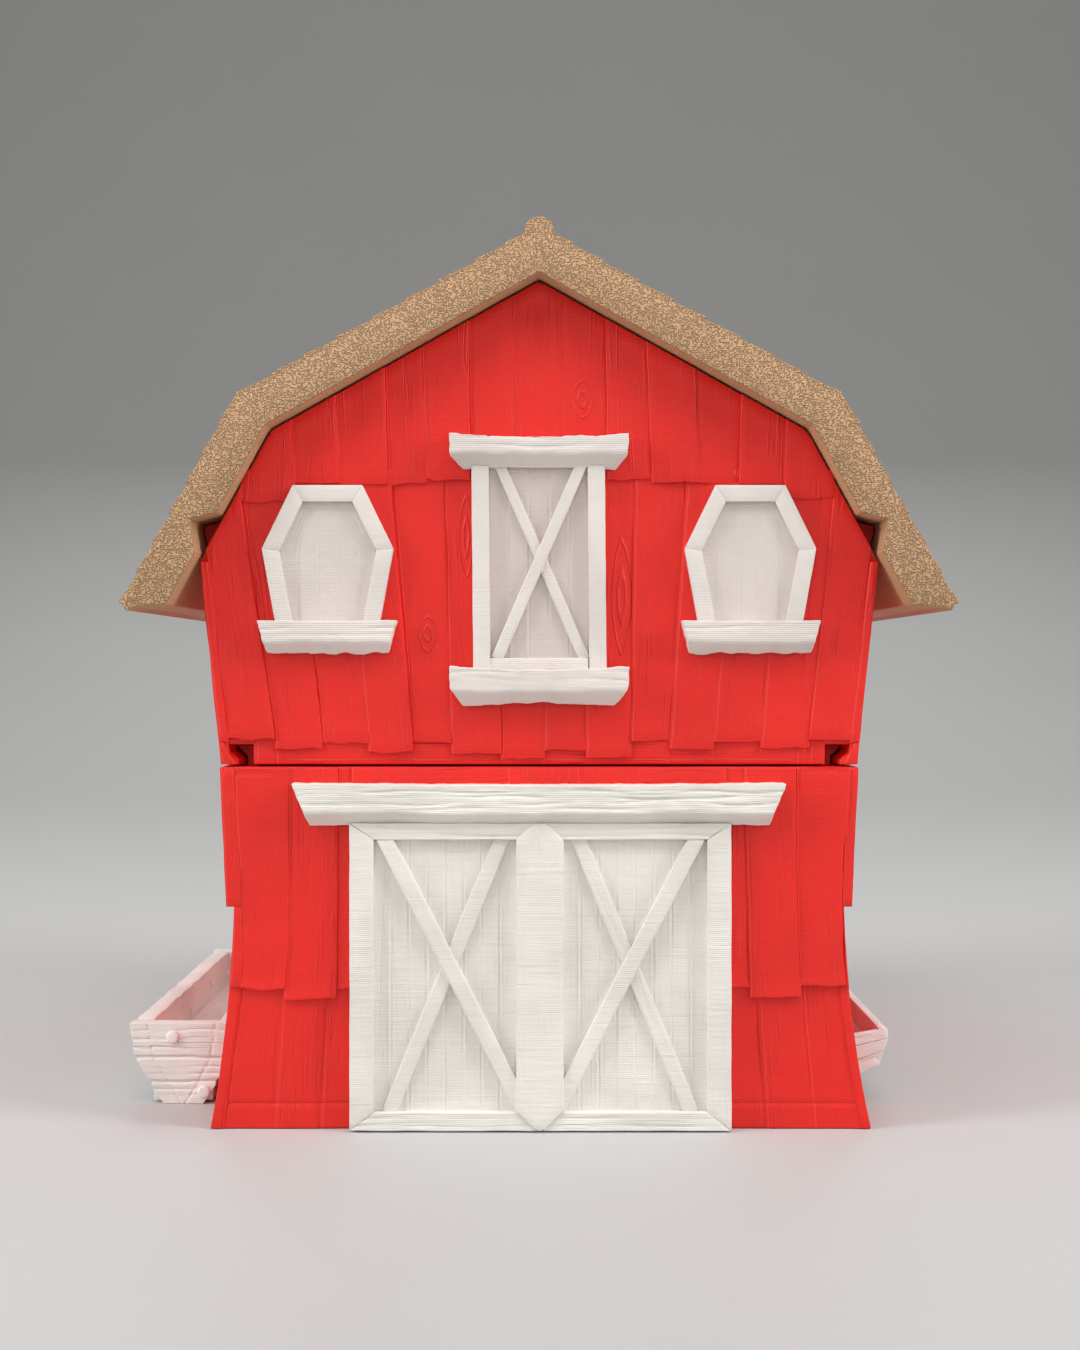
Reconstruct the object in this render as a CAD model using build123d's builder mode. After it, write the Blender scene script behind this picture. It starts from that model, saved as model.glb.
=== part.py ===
# Toy barn: two stacking storeys, a slide-on gambrel roof, white trim boards and a loose feed trough.
# Millimetres, +Z up, the front faces -Y. The origin is on the base plane, under the middle of the barn.

import os
from math import atan2, cos, sin

from build123d import *

os.makedirs("parts", exist_ok=True)

# Storeys. Every half width is taken from the base's, and every height of the upper storey
# and the roof from the seam's, so that the pieces keep together when one of these changes.
storey_depth = 87.0
base_half = 46.6
seam_height = 50.8
wall = 4.5
lower_floor = 2.4
upper_floor = 4.4
room_half = base_half - 6.6

# Side profile of the lower storey, as half widths at their heights
waist_half = base_half - 3.8
waist_height = 30.7
board_foot_half = base_half - 2.7
board_foot_height = 31.6
lower_top_half = base_half - 1.8

# Roof, as the inner line of its slab
ridge_inner_height = seam_height + 68.4
break_half = base_half - 8.9
break_height = seam_height + 47.4
eave_half = base_half + 4.8
eave_height = seam_height + 22.6
roof_thickness = 5.5
roof_overhang = 4.3
eave_reach = 3.1
eave_lip = 0.9
ridge_cap_radius = 2.1
ridge_cap_sink = 0.7
shingle_lift = 0.4
upper_courses = 9
lower_courses = 7

# Upper storey
upper_foot_half = base_half - 2.0
eave_corner_height = eave_height + 6.3
side_wall_top = eave_height + 13.6

# Sliding fits between the storeys and the roof
slide_gap = 0.3
rail_setback = 5.4
groove_end_wall = 4.0

# Hook rail on the lower storey: a thin web with a head that leans outwards
rail_inner_half = room_half + 0.3
rail_web = 1.3
rail_web_height = 1.3
rail_head_reach = 1.3
rail_slope_height = 1.2
rail_lip_height = 0.3
groove_lead_in = 3.0
groove_flare = 1.0
groove_web_flare = 0.6

# Hook rail at the eave, measured on the inner line of the roof
hook_top_height = eave_height + 12.7
hook_foot_height = eave_height + 7.3
hook_reach = 3.7
hook_drop = 0.9
hook_nose = 1.1

# Cladding boards
board_pitch = 6.6
joint_width = 0.4
joint_depth = 0.35
course_step = 0.6
course_length = 36.0
lower_course_height = 19.0
loft_course_height = seam_height + 38.0
foot_course_height = seam_height + 2.5
ragged_edge = 0.6

# Seats of the white trim
seat_depth = 1.0
seat_gap = 0.12

# Double barn door
door_half = 26.6
door_foot = 0.2
door_height = 42.6
door_field_proud = 0.4
door_frame_proud = 1.6
door_stile = 3.15
door_rail = 2.7
door_centre_board = 6.2
door_centre_proud = 1.9
door_point = 2.8
door_brace = 2.0
door_brace_inset = 1.2
door_back_brace_proud = 0.9
door_front_brace_proud = 1.3
door_line_pitch = 2.62
door_lines = 7

# Header board over the door
header_top_half = 34.3
header_knee_half = 32.5
header_foot_half = 32.1
header_height = 5.7
header_proud = 3.0
header_slope_height = 1.5
header_dip = 0.2

# Loft door with its header and sill
loft_foot_height = seam_height + 14.2
loft_half = 9.3
loft_height = 27.7
loft_stile = 2.4
loft_rail = 1.05
loft_brace = 1.6
loft_brace_inset = 0.85
loft_field_proud = 0.3
loft_frame_proud = 1.3
loft_back_brace_proud = 0.7
loft_front_brace_proud = 1.0
loft_lines = 5
loft_board_top_half = 12.5
loft_board_knee_half = 12.4
loft_board_foot_half = 10.6
loft_header_height = 4.5
loft_sill_height = 5.1
loft_board_proud = 2.6
loft_board_slope_height = 1.9
loft_board_dip = 0.5

# Six-sided blind windows
window_centre = base_half - 17.1
window_foot_height = seam_height + 20.6
window_height = 18.9
window_waist_height = 10.0
window_foot_half = 7.3
window_waist_half = 9.15
window_top_half = 4.85
window_frame = 2.3
window_frame_proud = 1.2
window_field_proud = 0.3
window_lines = 4
window_sill_height = 4.6
window_sill_top_half = 9.7
window_sill_knee_half = 8.8
window_sill_foot_half = 8.5
window_sill_proud = 2.2
window_sill_slope_height = 1.6
window_sill_dip = 0.15

# Loose trough, standing beside the barn
trough_centre = -(base_half + 6.4)
trough_front = 15.1
trough_length = 71.0
trough_height = 12.0
trough_rim_half = 7.8
trough_knee_half = 7.1
trough_knee_height = 6.9
trough_heel_half = 4.9
trough_heel_height = 2.6
trough_foot_half = 3.2
trough_wall = 2.8
trough_low_joint = 3.3
trough_nail_radius = 0.95
trough_nail_proud = 0.35
trough_upper_nail = (-1.3, 9.9)
trough_lower_nail = (3.3, 1.8)

# Feed box on the right side wall
feed_front = 14.6
feed_length = 57.8
feed_seat_half = base_half - 3.0
feed_rim_half = base_half + 5.0
feed_rim_height = 11.3
feed_rim_rise = 1.5
feed_knee_half = base_half + 5.2
feed_knee_height = 9.6
feed_heel_half = base_half + 3.8
feed_heel_height = 5.4
feed_foot_height = 2.1
feed_wall = 1.3

front = -storey_depth / 2
upper_foot = seam_height + slide_gap
line_width = 0.25
line_depth = 0.25


def front_plane(proud):
    """Plane facing the front, a given distance proud of the front wall."""
    return Plane.XZ.offset(proud - front)


def both_sides(points):
    """Closed outline from the points of its right half, listed from the top down."""
    mirrored = [(-x, z) for x, z in reversed(points)]
    return points + mirrored


def wobble(index, seed):
    """Small steady unevenness between -1 and 1, so that no two boards are cut alike."""
    return sin(2.39996 * index + seed)


# Lines of the roof

upper_pitch = atan2(ridge_inner_height - break_height, break_half)
lower_pitch = atan2(break_height - eave_height, eave_half - break_half)


def slope_half(height):
    """Half width of the roof's inner line at a height below the break."""
    share = (break_height - height) / (break_height - eave_height)
    return break_half + share * (eave_half - break_half)


def roof_line(shift):
    """Ridge, break and eave of the roof's inner line, moved outwards by a distance."""
    half_turn = (upper_pitch + lower_pitch) / 2
    reach = shift / cos((lower_pitch - upper_pitch) / 2)
    ridge = (0, ridge_inner_height + shift / cos(upper_pitch))
    bend = (break_half + reach * sin(half_turn), break_height + reach * cos(half_turn))
    eave = (eave_half + shift * sin(lower_pitch), eave_height + shift * cos(lower_pitch))
    return ridge, bend, eave


# Section of the seam's hook rail, right side

rail_web_outer = rail_inner_half + rail_web
rail_head_outer = rail_web_outer + rail_head_reach
rail_head_foot = seam_height + rail_web_height
rail_top = rail_head_foot + rail_slope_height + rail_lip_height


def seam_rail(sink, grow, flare=0.0, web_flare=0.0):
    """Rail section, started below the seam by sink, and grown all round by grow for its groove."""
    inner = rail_inner_half - grow
    web = rail_web_outer + grow
    head = rail_head_outer + grow + flare
    slope_foot = rail_head_foot + rail_lip_height - grow
    return [
        (inner, seam_height - sink),
        (inner, rail_top + grow),
        (head, rail_top + grow),
        (head, rail_top - rail_lip_height - grow),
        (web + web_flare, slope_foot - rail_lip_height),
        (web + web_flare, seam_height - sink),
    ]


def seam_sections(plane, sink, grow):
    """Both rail sections on a plane across the barn."""
    with BuildSketch(plane) as sections:
        with BuildLine():
            Polyline(*seam_rail(sink, grow), close=True)
        make_face()
        mirror(about=Plane.YZ)
    return sections.sketch


def groove_mouths():
    """Front mouths of the seam grooves, wider outwards so that the rails find their way in."""
    with BuildPart() as mouths:
        for proud, flare, web_flare in (
            (0.05, groove_flare, groove_web_flare),
            (-groove_lead_in, 0.0, 0.0),
        ):
            with BuildSketch(front_plane(proud)):
                with BuildLine():
                    Polyline(*seam_rail(1, slide_gap, flare, web_flare), close=True)
                make_face()
        loft()
        mirror(about=Plane.YZ)
    return mouths.part


def eave_hooks(plane, inset, root):
    """Both hook sections at the eave, made smaller by inset and rooted inwards by root."""
    top = (slope_half(hook_top_height), hook_top_height)
    corner = (top[0] + hook_reach, hook_top_height - hook_drop)
    nose = (corner[0], corner[1] - hook_nose)
    foot = (slope_half(hook_foot_height), hook_foot_height)
    with BuildSketch(plane) as hooks:
        with BuildLine():
            Polyline(
                (top[0] - root, top[1] - inset),
                (top[0], top[1] - inset),
                (corner[0] - inset, corner[1] - inset),
                (nose[0] - inset, nose[1]),
                (foot[0] - inset, foot[1] + inset),
                (foot[0] - root, foot[1] + inset),
                close=True,
            )
        make_face()
        mirror(about=Plane.YZ)
    return hooks.sketch


def board_edges(half_width, pitch, seed):
    """Places of the upright joints between the boards of one course."""
    count = max(2, round(2 * half_width / pitch))
    step = 2 * half_width / count
    inner = [i * step - half_width + 0.12 * step * wobble(i, seed) for i in range(1, count)]
    return [-half_width] + inner + [half_width]


def course_cuts(half_width, height, foot, seed):
    """Wedges that set the boards under a course line back, so that the course above overhangs them.
    They are cut in the front wall; the back wall takes them turned about the upright axis."""
    edges = board_edges(half_width, board_pitch, seed)
    cuts = []
    for i, (left, right) in enumerate(zip(edges, edges[1:])):
        top = height + ragged_edge * wobble(i, seed + 1)
        foot_step = course_step * (1 - (top - foot) / course_length)
        with BuildPart() as wedge:
            with BuildSketch(Plane.YZ.offset(left)):
                with BuildLine():
                    Polyline(
                        (front - 1, top),
                        (front + course_step, top),
                        (front + max(foot_step, 0.02), foot),
                        (front - 1, foot),
                        close=True,
                    )
                make_face()
            extrude(amount=right - left)
        cuts.append(wedge.part)
    return cuts


def joint_cuts(half_width, foot, top, seed):
    """Upright joints between the boards of one course in the front wall."""
    with BuildPart() as joints:
        for x in board_edges(half_width, board_pitch, seed)[1:-1]:
            with BuildSketch(front_plane(1)):
                with Locations((x, (foot + top) / 2)):
                    Rectangle(joint_width, top - foot)
            extrude(amount=-(1 + course_step + joint_depth))
    return joints.part


def turned(shape):
    """The same cut on the back wall."""
    return shape.rotate(Axis.Z, 180)


def side_skin(outline):
    """Thin skin along the two sides of an outline, as deep as a joint."""
    with BuildSketch() as skin:
        add(outline)
        with BuildSketch(mode=Mode.PRIVATE) as core:
            with Locations((joint_depth, 0)):
                add(outline)
            with Locations((-joint_depth, 0)):
                add(outline, mode=Mode.INTERSECT)
        add(core.sketch, mode=Mode.SUBTRACT)
    return skin.sketch


def side_joints(outline):
    """Upright joints along both side walls."""
    count = round(storey_depth / board_pitch)
    step = storey_depth / count
    with BuildPart() as joints:
        for i in range(1, count):
            y = front + i * step + 0.1 * step * wobble(i, 0.7)
            with BuildSketch(Plane.XZ.offset(joint_width / 2 - y)):
                add(side_skin(outline))
            extrude(amount=-joint_width)
    return joints.part


# Outlines of the two storeys, seen from the front

with BuildSketch() as lower_outline:
    with BuildLine():
        boards = Polyline(
            (0, seam_height),
            (lower_top_half, seam_height),
            (board_foot_half, board_foot_height),
            (waist_half, waist_height),
        )
        flare = TangentArc(boards @ 1, (base_half, 0), tangent=(0.03, -1))
        Line(flare @ 1, (0, 0))
        mirror(about=Plane.YZ)
    make_face()

storey_ridge, storey_break, storey_eave = roof_line(-slide_gap)
eave_corner = (slope_half(eave_corner_height) - slide_gap / sin(lower_pitch), eave_corner_height)

with BuildSketch() as upper_outline:
    with BuildLine():
        Polyline(
            *both_sides([storey_ridge, storey_break, eave_corner, (upper_foot_half, upper_foot)])[:-1],
            close=True,
        )
    make_face()

# Outlines of the white trim, seen from the front; the seats in the walls use the same outlines


def panel_outline(x, foot, half, height, grow=0.0):
    """Upright rectangle standing on its foot."""
    with BuildSketch() as outline:
        with Locations((x, foot + height / 2)):
            Rectangle(2 * (half + grow), height + 2 * grow)
    return outline.sketch


def board_outline(x, top, halves, height, knee_height, dip, grow=0.0):
    """Board with slanted ends, its top edge dipping in the middle.
    Its half widths are given at the top, at the knee of its ends and at the foot."""
    top_half, knee_half, foot_half = halves
    top_left = (x - top_half - grow, top + grow)
    top_right = (x + top_half + grow, top + grow)
    with BuildSketch() as outline:
        with BuildLine():
            ThreePointArc(top_left, (x, top - dip + grow), top_right)
            Polyline(
                top_right,
                (x + knee_half + grow, top - height + knee_height),
                (x + foot_half + grow, top - height - grow),
                (x - foot_half - grow, top - height - grow),
                (x - knee_half - grow, top - height + knee_height),
                top_left,
            )
        make_face()
    return outline.sketch


def window_outline(x, grow=0.0):
    """Six-sided window, widest at its waist."""
    halves = [
        (window_top_half, window_foot_height + window_height),
        (window_waist_half, window_foot_height + window_waist_height),
        (window_foot_half, window_foot_height),
    ]
    with BuildSketch() as outline:
        with BuildLine():
            Polyline(*[(x + u, z) for u, z in both_sides(halves)], close=True)
        make_face()
        if grow:
            offset(amount=grow, kind=Kind.INTERSECTION)
    return outline.sketch


door_top = door_foot + door_height
header_top = door_top + seat_gap + header_height
loft_top = loft_foot_height + loft_height
loft_header_top = loft_top + seat_gap + loft_header_height
loft_sill_top = loft_foot_height - seat_gap
loft_board_halves = (loft_board_top_half, loft_board_knee_half, loft_board_foot_half)
window_sill_top = window_foot_height - seat_gap


def on_front(sketch, proud):
    """A front-view sketch stood up on the front wall."""
    return front_plane(proud) * sketch


def door_outline(grow=0.0):
    return panel_outline(0, door_foot, door_half, door_height, grow)


def header_outline(grow=0.0):
    halves = (header_top_half, header_knee_half, header_foot_half)
    return board_outline(
        0, header_top, halves, header_height, header_slope_height, header_dip, grow
    )


def loft_outline(grow=0.0):
    return panel_outline(0, loft_foot_height, loft_half, loft_height, grow)


def loft_header_outline(grow=0.0):
    return board_outline(
        0, loft_header_top, loft_board_halves, loft_header_height, loft_board_slope_height,
        loft_board_dip, grow,
    )


def loft_sill_outline(grow=0.0):
    return board_outline(
        0, loft_sill_top, loft_board_halves, loft_sill_height, loft_board_slope_height,
        loft_board_dip, grow,
    )


def window_sill_outline(x, grow=0.0):
    halves = (window_sill_top_half, window_sill_knee_half, window_sill_foot_half)
    return board_outline(
        x, window_sill_top, halves, window_sill_height, window_sill_slope_height,
        window_sill_dip, grow,
    )


def feed_points(grow=0.0):
    """Section of the feed box, from its seat in the wall out to the rim and down to the heel."""
    return [
        (feed_seat_half - grow, feed_rim_height - feed_rim_rise + grow),
        (feed_rim_half + grow, feed_rim_height + grow),
        (feed_knee_half + grow, feed_knee_height),
        (feed_heel_half + grow, feed_heel_height - grow),
        (feed_seat_half - grow, feed_foot_height - grow),
    ]


# Lower storey: floor, four clad walls and two hook rails on top of the side walls

with BuildPart() as lower_storey:
    extrude(front_plane(0) * lower_outline.sketch, amount=-storey_depth)
    lower_wedges = course_cuts(base_half, lower_course_height, 0, 0.4)
    lower_joints = [
        joint_cuts(base_half, 0, lower_course_height, 2.1),
        joint_cuts(base_half, lower_course_height, seam_height + 1, 0.4),
    ]
    add(lower_wedges + [turned(cut) for cut in lower_wedges], mode=Mode.SUBTRACT)
    add(lower_joints + [turned(cut) for cut in lower_joints], mode=Mode.SUBTRACT)
    add(side_joints(lower_outline.sketch), mode=Mode.SUBTRACT)
    with BuildSketch(Plane.XY.offset(lower_floor)):
        Rectangle(2 * room_half, storey_depth - 2 * wall)
    extrude(amount=seam_height, mode=Mode.SUBTRACT)
    extrude(on_front(door_outline(seat_gap), 1), amount=-1 - seat_depth, mode=Mode.SUBTRACT)
    extrude(on_front(header_outline(seat_gap), 1), amount=-1 - seat_depth, mode=Mode.SUBTRACT)
    with BuildSketch(Plane.XZ.offset(-front - feed_front + seat_gap)):
        with BuildLine():
            Polyline(*feed_points(seat_gap), close=True)
        make_face()
    extrude(amount=-feed_length - 2 * seat_gap, mode=Mode.SUBTRACT)
    rail_length = storey_depth - rail_setback - groove_end_wall - slide_gap
    rail_plane = Plane.XZ.offset(-front - rail_setback)
    extrude(seam_sections(rail_plane, 0.5, 0), amount=-rail_length)
lower_storey.part.label = "lower_storey"
export_step(lower_storey.part, "parts/lower_storey.step")

# Upper storey: thick floor with the grooves for the seam rails, four clad walls and the eave hooks

with BuildPart() as upper_storey:
    extrude(front_plane(0) * upper_outline.sketch, amount=-storey_depth)
    upper_wedges = course_cuts(eave_half, loft_course_height, foot_course_height, 1.3)
    upper_wedges += course_cuts(eave_half, foot_course_height, upper_foot - 1, 3.7)
    upper_joints = [
        joint_cuts(eave_half, upper_foot - 1, foot_course_height, 5.2),
        joint_cuts(eave_half, foot_course_height, loft_course_height, 3.7),
        joint_cuts(eave_half, loft_course_height, ridge_inner_height, 1.3),
    ]
    add(upper_wedges + [turned(cut) for cut in upper_wedges], mode=Mode.SUBTRACT)
    add(upper_joints + [turned(cut) for cut in upper_joints], mode=Mode.SUBTRACT)
    add(side_joints(upper_outline.sketch), mode=Mode.SUBTRACT)
    room_depth = storey_depth - 2 * wall
    with BuildSketch(Plane.XY.offset(upper_foot + upper_floor)):
        Rectangle(2 * room_half, room_depth)
    extrude(amount=ridge_inner_height, mode=Mode.SUBTRACT)
    with BuildSketch(Plane.XY.offset(side_wall_top)):
        Rectangle(2 * eave_half, room_depth)
    extrude(amount=ridge_inner_height, mode=Mode.SUBTRACT)
    groove_length = storey_depth - groove_end_wall
    extrude(seam_sections(front_plane(1), 1, slide_gap), amount=-groove_length - 1, mode=Mode.SUBTRACT)
    add(groove_mouths(), mode=Mode.SUBTRACT)
    hook_length = storey_depth - rail_setback - groove_end_wall - slide_gap
    extrude(eave_hooks(Plane.XZ.offset(-front - rail_setback), slide_gap, 2), amount=-hook_length)
    extrude(on_front(loft_outline(seat_gap), 1), amount=-1 - seat_depth, mode=Mode.SUBTRACT)
    extrude(on_front(loft_header_outline(seat_gap), 1), amount=-1 - seat_depth, mode=Mode.SUBTRACT)
    extrude(on_front(loft_sill_outline(seat_gap), 1), amount=-1 - seat_depth, mode=Mode.SUBTRACT)
    for x in (-window_centre, window_centre):
        extrude(on_front(window_outline(x, seat_gap), 1), amount=-1 - seat_depth, mode=Mode.SUBTRACT)
        extrude(
            on_front(window_sill_outline(x, seat_gap), 1), amount=-1 - seat_depth, mode=Mode.SUBTRACT
        )
upper_storey.part.label = "upper_storey"
export_step(upper_storey.part, "parts/upper_storey.step")

# Roof: one folded slab with stepped shingle courses, a ridge cap and a groove near each eave

roof_ridge, roof_break, roof_eave = roof_line(roof_thickness)
down_lower = (cos(lower_pitch), -sin(lower_pitch))
roof_tip = (roof_eave[0] + eave_reach * down_lower[0], roof_eave[1] + eave_reach * down_lower[1])
roof_length = storey_depth + 2 * roof_overhang


def shingled(start, end, courses, pitch):
    """Outline of stepped courses down one slope: each course's foot stands proud of the next."""
    points = []
    for k in range(1, courses + 1):
        x = start[0] + (end[0] - start[0]) * k / courses
        z = start[1] + (end[1] - start[1]) * k / courses
        points.append((x + shingle_lift * sin(pitch), z + shingle_lift * cos(pitch)))
        points.append((x, z))
    return points


with BuildPart() as roof:
    with BuildSketch(Plane.XZ.offset(roof_length / 2)):
        with BuildLine():
            Polyline(
                (0, ridge_inner_height),
                roof_ridge,
                *shingled(roof_ridge, roof_break, upper_courses, upper_pitch),
                *shingled(roof_break, roof_tip, lower_courses, lower_pitch),
                (roof_tip[0] - eave_lip, roof_tip[1] - eave_lip),
                (roof_tip[0] - 2 * eave_lip, eave_height),
                (eave_half, eave_height),
                (break_half, break_height),
                close=True,
            )
        make_face()
        mirror(about=Plane.YZ)
        with Locations((0, roof_ridge[1] - ridge_cap_sink)):
            Circle(ridge_cap_radius)
    extrude(amount=-roof_length)
    groove_run = storey_depth + roof_overhang - groove_end_wall
    extrude(
        eave_hooks(Plane.XZ.offset(roof_length / 2 + 1), 0, 0.4),
        amount=-groove_run - 1,
        mode=Mode.SUBTRACT,
    )
roof.part.label = "roof"
export_step(roof.part, "parts/roof.step")


def upright_lines(x, foot, height, pitch, count):
    """Fine upright lines between the planks of a panel's field."""
    with BuildSketch() as lines:
        with Locations((x, foot + height / 2)):
            with GridLocations(pitch, 0, count, 1):
                Rectangle(line_width, height)
    return lines.sketch


def brace(x, foot, half, height, inset, width, side):
    """One diagonal brace across a field, its ends set in from the corners, cut off at the edges."""
    reach = (4 * half * half + height * height) ** 0.5
    lean = atan2(height, 2 * (half - inset)) * 180 / 3.141592653589793
    with BuildSketch() as board:
        with Locations((x, foot + height / 2)):
            Rectangle(2 * reach, width, rotation=side * lean)
            Rectangle(2 * half, height, mode=Mode.INTERSECT)
    return board.sketch


# Double door, one panel: planked field, mitred frame, centre board and two crossed braces

leaf_half = (door_half - door_stile - door_centre_board / 2) / 2
leaf_centre = door_centre_board / 2 + leaf_half
field_foot = door_foot + door_rail
field_height = door_height - 2 * door_rail

with BuildPart() as door_panel:
    extrude(on_front(door_outline(), -seat_depth), amount=seat_depth + door_field_proud)
    for side in (-1, 1):
        lines = upright_lines(side * leaf_centre, field_foot, field_height, door_line_pitch, door_lines)
        extrude(on_front(lines, door_field_proud), amount=-line_depth, mode=Mode.SUBTRACT)
        for lean, proud in ((side, door_front_brace_proud), (-side, door_back_brace_proud)):
            bar = brace(
                side * leaf_centre, field_foot, leaf_half, field_height, door_brace_inset,
                door_brace, lean,
            )
            extrude(on_front(bar, 0), amount=proud)
    with BuildSketch(front_plane(0)):
        add(door_outline())
        for side in (-1, 1):
            with Locations((side * leaf_centre, field_foot + field_height / 2)):
                Rectangle(2 * leaf_half, field_height, mode=Mode.SUBTRACT)
    extrude(amount=door_frame_proud)
    with BuildSketch(front_plane(0)):
        half = door_centre_board / 2
        with BuildLine():
            Polyline(
                (0, door_top),
                (half, door_top - door_point),
                (half, door_foot + door_point),
                (0, door_foot),
                (-half, door_foot + door_point),
                (-half, door_top - door_point),
                close=True,
            )
        make_face()
    extrude(amount=door_centre_proud)
door_panel.part.label = "door_panel"
export_step(door_panel.part, "parts/door_panel.step")


def ledge(outline, top, height, proud, slope_height, half):
    """Board that stands out from the wall, with its lower front edge sloped back."""
    with BuildPart() as board:
        extrude(on_front(outline, -seat_depth), amount=seat_depth + proud)
        with BuildSketch(Plane.YZ.offset(-half)):
            with BuildLine():
                Polyline(
                    (front + seat_depth, top),
                    (front - proud, top),
                    (front - proud, top - height + slope_height),
                    (front - proud + slope_height * 0.8, top - height),
                    (front + seat_depth, top - height),
                    close=True,
                )
            make_face()
        extrude(amount=2 * half, mode=Mode.INTERSECT)
    return board.part


# Header over the door

with BuildPart() as door_header:
    add(
        ledge(
            header_outline(), header_top, header_height, header_proud, header_slope_height,
            header_top_half,
        )
    )
door_header.part.label = "door_header"
export_step(door_header.part, "parts/door_header.step")

# Loft door with its crossed braces

with BuildPart() as loft_door:
    extrude(on_front(loft_outline(), -seat_depth), amount=seat_depth + loft_field_proud)
    loft_field_half = loft_half - loft_stile
    lines = upright_lines(0, loft_foot_height, loft_height, door_line_pitch, loft_lines)
    extrude(on_front(lines, loft_field_proud), amount=-line_depth, mode=Mode.SUBTRACT)
    for lean, proud in ((1, loft_front_brace_proud), (-1, loft_back_brace_proud)):
        bar = brace(
            0, loft_foot_height, loft_field_half, loft_height, loft_brace_inset, loft_brace, lean
        )
        extrude(on_front(bar, 0), amount=proud)
    foot_rail = panel_outline(0, loft_foot_height, loft_half, loft_rail)
    extrude(on_front(foot_rail, 0), amount=loft_frame_proud)
    for side in (-1, 1):
        stile_centre = side * (loft_half - loft_stile / 2)
        stile = panel_outline(stile_centre, loft_foot_height, loft_stile / 2, loft_height)
        extrude(on_front(stile, 0), amount=loft_frame_proud)
loft_door.part.label = "loft_door"
export_step(loft_door.part, "parts/loft_door.step")

with BuildPart() as loft_header:
    add(
        ledge(
            loft_header_outline(), loft_header_top, loft_header_height, loft_board_proud,
            loft_board_slope_height, loft_board_top_half,
        )
    )
loft_header.part.label = "loft_header"
export_step(loft_header.part, "parts/loft_header.step")

with BuildPart() as loft_sill:
    add(
        ledge(
            loft_sill_outline(), loft_sill_top, loft_sill_height, loft_board_proud,
            loft_board_slope_height, loft_board_top_half,
        )
    )
loft_sill.part.label = "loft_sill"
export_step(loft_sill.part, "parts/loft_sill.step")

# Blind windows and their sills, left and right

for side, hand in ((-1, "left"), (1, "right")):
    x = side * window_centre
    with BuildPart() as window:
        extrude(on_front(window_outline(x), -seat_depth), amount=seat_depth + window_field_proud)
        lines = upright_lines(x, window_foot_height, window_height, door_line_pitch, window_lines)
        extrude(on_front(lines, window_field_proud), amount=-line_depth, mode=Mode.SUBTRACT)
        with BuildSketch(front_plane(0)):
            add(window_outline(x))
            opening = offset(window_outline(x), amount=-window_frame, kind=Kind.INTERSECTION,
                             mode=Mode.PRIVATE)
            add(opening, mode=Mode.SUBTRACT)
            with Locations((x, window_foot_height + window_frame / 2)):
                Rectangle(2 * (window_foot_half - window_frame), window_frame, mode=Mode.SUBTRACT)
        extrude(amount=window_frame_proud)
    window.part.label = "window_" + hand
    export_step(window.part, "parts/window_" + hand + ".step")

    with BuildPart() as window_sill:
        sill = ledge(
            window_sill_outline(x), window_sill_top, window_sill_height, window_sill_proud,
            window_sill_slope_height, window_centre + window_sill_top_half,
        )
        add(sill)
    window_sill.part.label = "window_sill_" + hand
    export_step(window_sill.part, "parts/window_sill_" + hand + ".step")

# Loose trough: planked sides that lean out, open at the top

trough_points = [
    (trough_rim_half, trough_height),
    (trough_knee_half, trough_knee_height),
    (trough_heel_half, trough_heel_height),
    (trough_foot_half, 0),
]


def trough_section(shrink=0.0):
    """Section of the trough, with its inside made by moving every side in."""
    with BuildSketch() as section:
        with BuildLine():
            Polyline(*[(trough_centre + x, z) for x, z in both_sides(trough_points)], close=True)
        make_face()
        if shrink:
            offset(amount=-shrink, kind=Kind.INTERSECTION)
            with Locations((trough_centre, trough_height - shrink / 2)):
                Rectangle(2 * (trough_rim_half - shrink), 3 * shrink)
    return section.sketch


with BuildPart() as trough:
    trough_plane = Plane.XZ.offset(-front - trough_front)
    extrude(trough_plane * trough_section(), amount=-trough_length)
    inner_plane = Plane.XZ.offset(-front - trough_front - trough_wall)
    extrude(
        inner_plane * trough_section(trough_wall),
        amount=-(trough_length - 2 * trough_wall),
        mode=Mode.SUBTRACT,
    )
    for height in (trough_knee_height, trough_low_joint):
        with BuildSketch(Plane.XY.offset(height - line_width / 2)):
            with Locations((trough_centre, front + trough_front + trough_length / 2)):
                Rectangle(2 * trough_rim_half, trough_length)
                Rectangle(
                    2 * trough_rim_half, trough_length - 2 * line_depth, mode=Mode.SUBTRACT
                )
        extrude(amount=line_width, mode=Mode.SUBTRACT)
    nail_length = trough_length + 2 * trough_nail_proud
    with BuildSketch(Plane.XZ.offset(-front - trough_front + trough_nail_proud)) as nails:
        with Locations((trough_centre, 0)):
            with Locations(trough_upper_nail, trough_lower_nail):
                Circle(trough_nail_radius)
    extrude(amount=-trough_nail_proud - trough_wall / 2)
    extrude(
        nails.sketch.moved(Location((0, nail_length, 0))), amount=trough_nail_proud + trough_wall / 2
    )
trough.part.label = "trough"
export_step(trough.part, "parts/trough.step")

# Feed box: a small open manger, seated in the right side wall

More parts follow.
